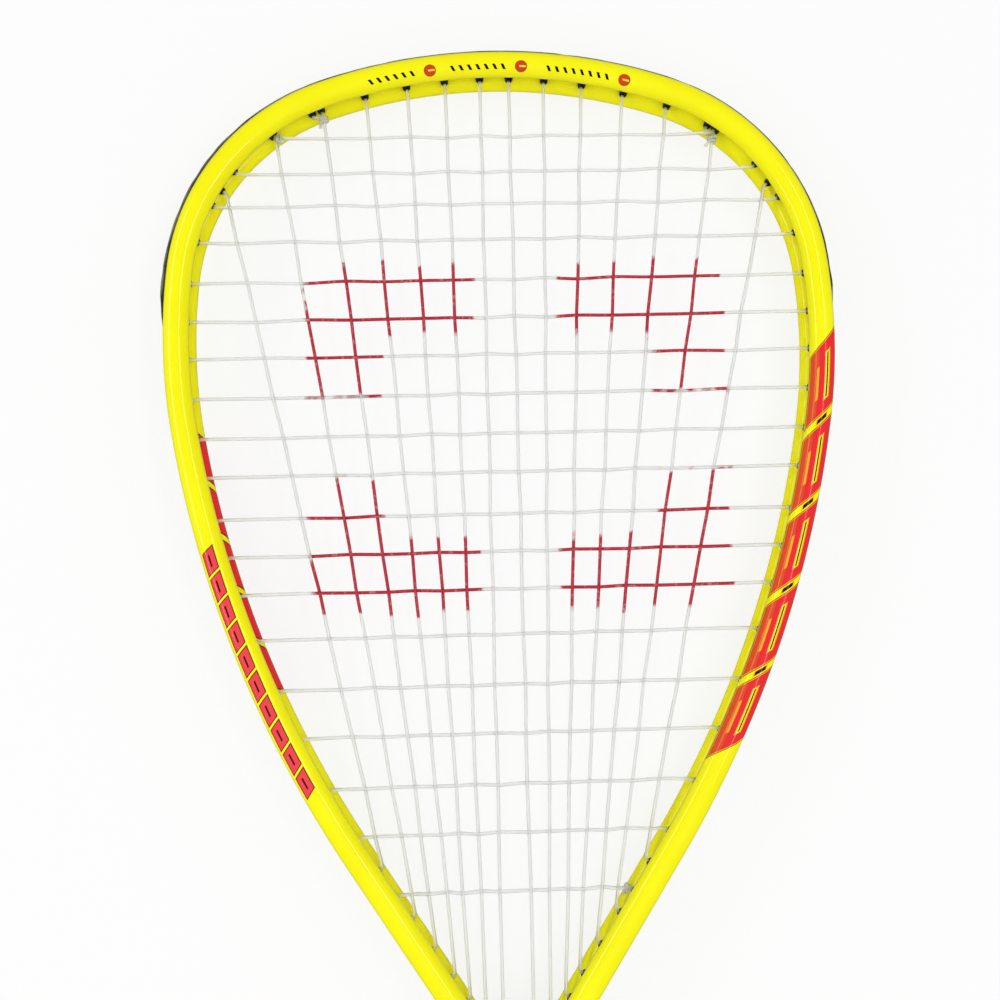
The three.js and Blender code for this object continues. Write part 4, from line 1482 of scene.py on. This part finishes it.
@dataclass(frozen=True)
class Handle:
    """The wrapped grip with its finishing tape and collar."""

    rim: Rim
    wrap: Finish
    tape: Finish
    rubber: Finish
    outline: Octagon = field(default_factory=Octagon)
    grip_length: float = 160.75
    thickness: float = 1.6
    clearance: float = 0.3
    cap_lip: float = 4.0
    cap_flare: float = 2.35
    cap_taper: float = 18.0
    strip_width: float = 25.0
    strip_thickness: float = 0.62
    overlap: float = 4.0
    lap_gap: float = 0.04  # between a lap and the turn under it
    pared: float = 0.5  # how far back the strip's edges slope
    inner_slope: float = 4.0  # where the strip has come down off the last turn, past the lap
    outer_slope: float = 5.0
    steps_per_turn: int = 64
    collar_wall: float = 1.2
    collar_cover: float = 7.7
    collar_lip: float = 2.7
    collar_slope: float = 1.0
    collar_draft: float = 0.3
    tape_thickness: float = 0.6
    tape_length: float = 12.0
    tape_gap: float = 2.3

    @property
    def top(self) -> float:
        """The height of the wrap's top end."""
        return self.rim.butt + self.grip_length

    def widen(self, y: float) -> float:
        """How much the handle grows towards the butt end."""
        up = y - self.rim.butt - self.cap_lip
        return self.cap_flare * min(max(1 - up / self.cap_taper, 0.0), 1.0)

    def build_wrap(self) -> bpy.types.Object:
        """Winds a strip round the handle, each turn lying over the edge of the last, and trims its ends."""
        bm = new_draft()
        thick, lap, width = self.strip_thickness, self.overlap, self.strip_width
        low = -self.thickness + self.clearance
        over = low + thick + self.lap_gap
        corners = [  # margin outside the grip and distance along the handle
            (over, 0.0),
            (low + 2 * thick, self.pared),
            (low + 2 * thick, lap),
            (low + thick, lap + self.outer_slope),
            (low + thick, width - self.pared),
            (low + 0.1, width),
            (low, width - 0.4),
            (low, lap + self.inner_slope),
            (over, lap),
        ]
        reference = self.outline.reference
        start = self.rim.butt + self.cap_lip + self.clearance
        pitch = width - lap
        turns = math.ceil((self.top - start) / pitch) + 2
        steps = turns * self.steps_per_turn
        verts = [bm.verts.new((reference + margin, start - 2 * pitch + y, 0.0)) for margin, y in corners]
        first = [bm.edges.new(pair) for pair in zip(verts, verts[1:] + verts[:1])]
        out = bm.verts.layers.float["out"]
        for v, (_, y) in zip(verts, corners):
            v[out] = y
        made = bmesh.ops.spin(
            bm,
            geom=verts + first,
            cent=(0.0, 0.0, 0.0),
            axis=(0.0, 1.0, 0.0),
            dvec=(0.0, pitch / self.steps_per_turn, 0.0),
            angle=2 * math.pi * turns,
            steps=steps,
        )
        last = [g for g in made["geom_last"] if isinstance(g, bmesh.types.BMEdge)]
        for ring in (first, last):
            bmesh.ops.triangle_fill(bm, use_beauty=True, edges=ring)
        station = bm.verts.layers.float["station"]
        for v in bm.verts:
            turn = (v.co.y - v[out] - start + 2 * pitch) / pitch
            v[station] = turn * 2 * math.pi * self.outline.half_width
        for y, side in ((start, -1.0), (self.top, 1.0)):
            cut = bmesh.ops.bisect_plane(
                bm,
                geom=bm.verts[:] + bm.edges[:] + bm.faces[:],
                dist=1e-4,
                plane_co=(0.0, y, 0.0),
                plane_no=(0.0, side, 0.0),
                clear_outer=True,
            )["geom_cut"]
            rim_edges = [g for g in cut if isinstance(g, bmesh.types.BMEdge)]
            bmesh.ops.triangle_fill(bm, use_beauty=True, edges=rim_edges)
        self.outline.shape(bm, self.widen)
        bmesh.ops.recalc_face_normals(bm, faces=bm.faces)
        return hand_over(bm, "grip_wrap_wound", self.wrap, ["grip_wrap"])

    def build_sleeve(
        self, name: str, node: str, finish: Finish, corners: Sequence[tuple[float, float]], rounding: float
    ) -> bpy.types.Object:
        """Turns a closed section into an eight-sided sleeve.

        Args:
            name: The piece's name.
            node: The frame's node that it stands for.
            finish: Its finish.
            corners: The section as margin outside the grip and height.
            rounding: The round on its corners.

        Returns:
            The piece.
        """
        bm = new_draft()
        reference = self.outline.reference
        points = [(reference + margin, y, 0.0) for margin, y in corners]
        draw_outline(bm, points, rounding, segments=3)
        bmesh.ops.spin(
            bm,
            geom=bm.verts[:] + bm.edges[:],
            cent=(0.0, 0.0, 0.0),
            axis=(0.0, 1.0, 0.0),
            angle=2 * math.pi,
            steps=self.steps_per_turn * 2,
            use_merge=True,
        )
        bmesh.ops.remove_doubles(bm, verts=bm.verts, dist=MM)
        self.outline.shape(bm, lambda y: 0.0)
        bmesh.ops.recalc_face_normals(bm, faces=bm.faces)
        return hand_over(bm, name, finish, [node])

    def build(self) -> None:
        """Makes the wrap, the tape and the collar."""
        self.build_wrap()
        high = self.top - self.collar_cover - self.tape_gap
        inner, outer = self.clearance, self.clearance + self.tape_thickness
        low = high - self.tape_length
        tape = [(inner, low), (outer, low), (outer, high), (inner, high)]
        self.build_sleeve("finishing_tape_vinyl", "finishing_tape", self.tape, tape, rounding=0.2)
        low = self.top - self.collar_cover
        seat = self.top + self.clearance
        high = seat + self.collar_lip
        inside = self.clearance - self.thickness
        outer = self.clearance + self.collar_wall
        collar = [
            (inner, low),
            (outer - self.collar_draft, low),
            (outer, low + self.collar_slope),
            (outer, self.top - self.collar_slope),
            (inside + self.collar_wall, high),
            (inside, high),
            (inside, seat),
            (inner, seat),
        ]
        self.build_sleeve("grip_collar_moulded", "grip_collar", self.rubber, collar, rounding=0.3)


# The studio


@dataclass(frozen=True)
class Lamp:
    """A soft lamp, in metres and watts. One that isn't mirrored lights the paint but shows in no gloss."""

    name: str
    place: tuple[float, float, float]
    size: tuple[float, float]
    power: float
    mirrored: bool = True


@dataclass(frozen=True)
class Studio:
    """A pale floor, a white room and soft lamps, with the camera over the head."""

    camera_place: tuple[float, float, float] = (-18.3, -211.38, 480.0)
    camera_turn: tuple[float, float, float] = (4.33, -1.94, -1.35)  # degrees about x, y and z
    lens_share: float = 1.2478  # focal length over the sensor's width
    sensor_width: float = 36.0
    floor_size: float = 6.0  # this and the next three in metres
    floor_drop: float = 0.0002
    clip: tuple[float, float] = (0.01, 50.0)
    shadow_reach: tuple[float, float] = (0.4, 1.6)
    near_white: float = 0.8  # how white the floor is under the racket, where it keeps the shadow
    world_strength: float = 0.63
    gloss_strength: float = 0.14  # of the room as the paint mirrors it, so that the lamps stand out
    aim: tuple[float, float, float] = (0.0, 0.1, 0.0)
    lamps: tuple[Lamp, ...] = (
        Lamp("left strip", (-1.2, 0.3, 0.9), (1.3, 0.22), 4.2),
        Lamp("right strip", (0.75, 0.2, 1.5), (1.3, 0.2), 3.8),
        Lamp("overhead softbox", (0.1, -0.5, 1.4), (1.3, 1.3), 5.5, mirrored=False),
    )

    def set_camera(self) -> None:
        """Places the camera as the photograph was taken."""
        lens = bpy.data.cameras.new("studio_camera")
        lens.sensor_fit = "HORIZONTAL"
        lens.sensor_width = self.sensor_width
        lens.lens = self.lens_share * self.sensor_width
        lens.clip_start, lens.clip_end = self.clip
        camera = bpy.data.objects.new("studio_camera", lens)
        turns = [Matrix.Rotation(math.radians(a), 4, axis) for a, axis in zip(self.camera_turn, "XYZ")]
        place = Matrix.Translation(TO_PART @ Vector(self.camera_place))
        camera.matrix_world = place @ turns[0] @ turns[1] @ turns[2]
        bpy.context.scene.collection.objects.link(camera)
        bpy.context.scene.camera = camera

    def sort_rays(self, tree: bpy.types.NodeTree) -> tuple[bpy.types.NodeSocket, bpy.types.NodeSocket]:
        """Sorts the rays that reach the room.

        Args:
            tree: The nodes of the floor or the world.

        Returns:
            1 for rays straight from the camera or through a string, and 1 for rays off a gloss.
        """
        path = add_node(tree, "ShaderNodeLightPath")
        straight, through = path.outputs["Is Camera Ray"], path.outputs["Is Transmission Ray"]
        seen = add_node(tree, "ShaderNodeMath", {0: straight, 1: through}, operation="MAXIMUM")
        return seen.outputs[0], path.outputs["Is Glossy Ray"]

    def lay_floor(self) -> None:
        """Lays the floor, which shows white to the eye and keeps a soft shadow."""
        bm = bmesh.new()
        bmesh.ops.create_grid(bm, x_segments=1, y_segments=1, size=self.floor_size / 2)
        bm.transform(Matrix.Translation((0.0, 0.0, -self.floor_drop)))
        mesh = bpy.data.meshes.new("floor")
        bm.to_mesh(mesh)
        bm.free()
        floor = bpy.data.objects.new("floor", mesh)
        bpy.context.scene.collection.objects.link(floor)
        # Matt white card gives a plain pale ground that still takes the racket's soft shadow.
        material = bpy.data.materials.new("matt white card")
        material.use_nodes = True
        tree = material.node_tree
        tree.nodes.clear()
        seen, gloss = self.sort_rays(tree)
        place = add_node(tree, "ShaderNodeTexCoord").outputs["Object"]
        away = add_node(tree, "ShaderNodeVectorMath", {0: place}, operation="LENGTH").outputs["Value"]
        near, far = self.shadow_reach
        paling = {"Value": away, "From Min": near, "From Max": far, "To Min": self.near_white}
        white_share = add_node(tree, "ShaderNodeMapRange", paling)
        rays = {0: seen, 1: white_share, 2: gloss}
        share = add_node(tree, "ShaderNodeMath", rays, operation="MULTIPLY_ADD", use_clamp=True)
        matt = add_node(tree, "ShaderNodeBsdfDiffuse", {"Color": colour("#f4f4f4")})
        strength = add_node(tree, "ShaderNodeMapRange", {"Value": seen, "To Min": self.gloss_strength})
        white = add_node(tree, "ShaderNodeEmission", {"Color": (1.0, 1.0, 1.0, 1.0), "Strength": strength})
        both = add_node(tree, "ShaderNodeMixShader", {0: share, 1: matt, 2: white})
        add_node(tree, "ShaderNodeOutputMaterial", {"Surface": both})
        mesh.materials.append(material)

    def light(self) -> None:
        """Lights the room evenly, with a softbox overhead and a thin strip lamp on either side."""
        world = bpy.data.worlds.new("white room")
        world.use_nodes = True
        tree = world.node_tree
        seen, gloss = self.sort_rays(tree)
        levels = {"Value": gloss, "To Min": self.world_strength, "To Max": self.gloss_strength}
        unseen = add_node(tree, "ShaderNodeMapRange", levels)
        strength = add_node(tree, "ShaderNodeMapRange", {"Value": seen, "To Min": unseen})
        feed(tree, tree.nodes["Background"], {"Color": (1.0, 1.0, 1.0, 1.0), "Strength": strength})
        bpy.context.scene.world = world
        for lamp in self.lamps:
            light = bpy.data.lights.new(lamp.name, "AREA")
            light.shape = "RECTANGLE"
            light.size, light.size_y = lamp.size
            light.energy = lamp.power
            holder = bpy.data.objects.new(lamp.name, light)
            holder.visible_glossy = lamp.mirrored
            holder.location = lamp.place
            holder.rotation_mode = "QUATERNION"
            holder.rotation_quaternion = (Vector(self.aim) - holder.location).to_track_quat("-Z", "Y")
            bpy.context.scene.collection.objects.link(holder)

    def build(self) -> None:
        """Sets the studio up."""
        bpy.context.scene.view_settings.view_transform = "Standard"
        self.set_camera()
        self.lay_floor()
        self.light()


# The marks on the paint: plain blocks, bars and dots

RED = "#ee2b33"
PINK = "#f4464f"
# Painted shade: the orange laid along the inner side of the right flash's panels.
INNER_SHADE_ORANGE = "#e5511f"
KEYLINE = "#ffb41e"
INK = "#1a0d05"
MAROON = "#3c0b0b"
YELLOW = "#fff600"
DOT_RED = "#da3a22"
DOT_EDGE = "#8c1c12"


def side_flash() -> tuple[Mark, ...]:
    """The right side's red panels: each has an orange band along its inner side, painted shade laid in as a
    hard second tone, and a slot, with a black bar between.
    """
    start, end, pitch = 191.9, 356.9, 33.0
    row = partial(Blocks, face=Face.FRONT, start=start, end=end, pitch=pitch, slant=1.1)
    between = partial(row, start=start + pitch / 2, end=end - pitch / 2)
    panel = ((0.0, INK), (0.35, KEYLINE), (0.85, RED))
    slot = ((0.0, KEYLINE), (0.45, YELLOW), (0.85, INK))
    bar = ((0.0, KEYLINE), (0.45, INK))
    return (
        row(bands=panel, gap=3.4, middle=0.0, half_width=6.8),
        # The orange band on each panel's inner side is painted shade, set in as a hard-edged second tone.
        row(bands=((0.0, INNER_SHADE_ORANGE),), gap=5.1, middle=-4.1, half_width=1.9),
        row(bands=slot, gap=14.0, middle=1.2, half_width=1.15),
        row(bands=((0.0, KEYLINE),), gap=20.0, middle=-2.6, half_width=0.5),
        between(bands=bar, gap=pitch - 2.6, middle=0.4, half_width=2.2),
    )


def side_badges() -> tuple[Mark, ...]:
    """The left side's small red blocks, each with a dark slit."""
    row = partial(Blocks, face=Face.FRONT, start=-368.0, end=-268.5, pitch=9.95, slant=0.5, middle=1.2)
    return (
        row(bands=((0.0, MAROON), (0.4, PINK)), gap=0.9, half_width=2.8),
        row(bands=((0.0, MAROON),), gap=5.4, half_width=0.4),
    )


def rear_stripe() -> tuple[Mark, ...]:
    """The red stripe inside the rear lobe on the left, with slanted breaks."""
    stripe = Blocks(
        face=Face.BACK,
        bands=((0.0, INK), (0.6, RED)),
        start=-338.9,
        end=-231.9,
        pitch=21.4,
        gap=2.4,
        slant=0.9,
        middle=-6.4,
        half_width=5.4,
    )
    return (stripe,)


def crown_marks() -> tuple[Mark, ...]:
    """The three dots at the crown, each with a bar in it and a row of short slanted ticks before it."""
    dot = partial(Dot, face=Face.FRONT, bands=((0.0, DOT_EDGE), (0.25, DOT_RED)), girth=-2.3, radius=2.4)
    row = partial(Blocks, face=Face.FRONT)
    light, dark = ((0.0, YELLOW),), ((0.0, INK),)
    bar = partial(row, bands=light, pitch=9.0, gap=-9.0, slant=0.35, middle=-2.3, half_width=0.35)
    ticks = partial(row, bands=dark, pitch=3.3, gap=2.1, slant=0.5, middle=-2.5, half_width=1.1)
    made: list[Mark] = []
    for spot, length in ((-25.5, 19.8), (10.3, 23.1), (51.3, 26.4)):
        row_end = spot - 6.6
        made.append(dot(station=spot))
        made.append(bar(start=spot - 1.5, end=spot + 1.1))
        made.append(ticks(start=row_end - length, end=row_end))
    return tuple(made)


# The finishes of the handle's parts


def handle_finishes() -> tuple[Finish, Finish, Finish]:
    """The finishes of the handle's new pieces.

    Returns:
        The wrap's, the tape's and the rubber's finish.
    """
    wrap = TackyWrap("tacky polyurethane wrap", "grip_wrap")
    # Stretched vinyl tape gives a thin, even black with a soft sheen, smoother than the wrap below it.
    vinyl = Plain(
        "vinyl tape",
        "tape_vinyl",
        dark="#0e0f12",
        light="#17181b",
        patch=20.0,
        grain=0.8,
        grain_height=0.02,
        roughness=(0.3, 0.42),
    )
    # Moulded rubber gives a dull black that greys a little in patches and hardly shines.
    rubber = Plain("moulded rubber", "cap_rubber", dark="#131416", light="#1e1f22")
    return wrap, vinyl, rubber


def dress_inside() -> None:
    """Gives the parts inside the handle, which keep their CAD shape, better materials."""
    # Rigid polyurethane foam gives a chalky grey-green with open cells, drawn coarser than they are.
    foam = Plain(
        "rigid polyurethane foam",
        "pallet_foam",
        dark="#8d8f88",
        light="#a3a59d",
        patch=4.0,
        grain=0.35,
        grain_height=0.08,
    )
    # Oiled beech gives a warm light brown with short flecks drawn out along the grain.
    beech = Plain(
        "oiled beech",
        "core_beech",
        dark="#a87d4c",
        light="#c79f6b",
        patch=3.0,
        grain=0.3,
        grain_height=0.05,
        stretch=(1.0, 0.08, 1.0),
    )
    # Soft rubber gives a flat dark grey without a shine.
    plug = Plain("soft rubber", "plug_rubber", dark="#202124", light="#2a2b2e")
    # Zinc plating gives a cool pale metal with a fine crystalline mottle that blurs what it mirrors.
    zinc = Plain(
        "zinc-plated steel",
        "screw_steel",
        dark="#b7b9bb",
        light="#d2d4d6",
        patch=2.0,
        grain=0.2,
        grain_height=0.01,
        roughness=(0.25, 0.4),
        metallic=1.0,
    )
    kept = {
        foam: ("handle_pallet_right", "handle_pallet_left"),
        beech: ("handle_core",),
        plug: ("leg_plug_right", "leg_plug_left"),
        zinc: (
            "pallet_screw_1",
            "pallet_screw_2",
            "pallet_screw_3",
            "butt_cap_screw_right",
            "butt_cap_screw_left",
        ),
    }
    for finish, names in kept.items():
        for name in names:
            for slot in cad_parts[name].material_slots:
                slot.material = finish.material
            LOG.info("%s keeps its shape and gets %s", name, finish.title)


def main() -> None:
    """Builds the studio and the racket, one sub-assembly after another."""
    logging.basicConfig(level=logging.INFO, format="%(name)s: %(message)s")
    Studio().build()
    rim = Rim()
    plan = StringPlan(rim)
    marks = (*side_flash(), *side_badges(), *rear_stripe(), *crown_marks())
    nylon = MouldedNylon("moulded black nylon", "guard_nylon")
    wrap, vinyl, rubber = handle_finishes()
    tube = FrameTube(rim, Enamel("gloss enamel on aluminium", "frame_paint", marks))
    tube.build()
    Groovework(plan, tube, nylon).build()
    Stringing(plan, StringNylon("wrapped nylon string", "string_nylon")).build()
    NodeCopy("throat_yoke", "throat_yoke_moulded", nylon).build()
    NodeCopy("butt_cap", "butt_cap_moulded", rubber, rounding=0.6, shortest=5.0).build()
    Handle(rim, wrap, vinyl, rubber).build()
    dress_inside()


if __name__ == "__main__":
    main()
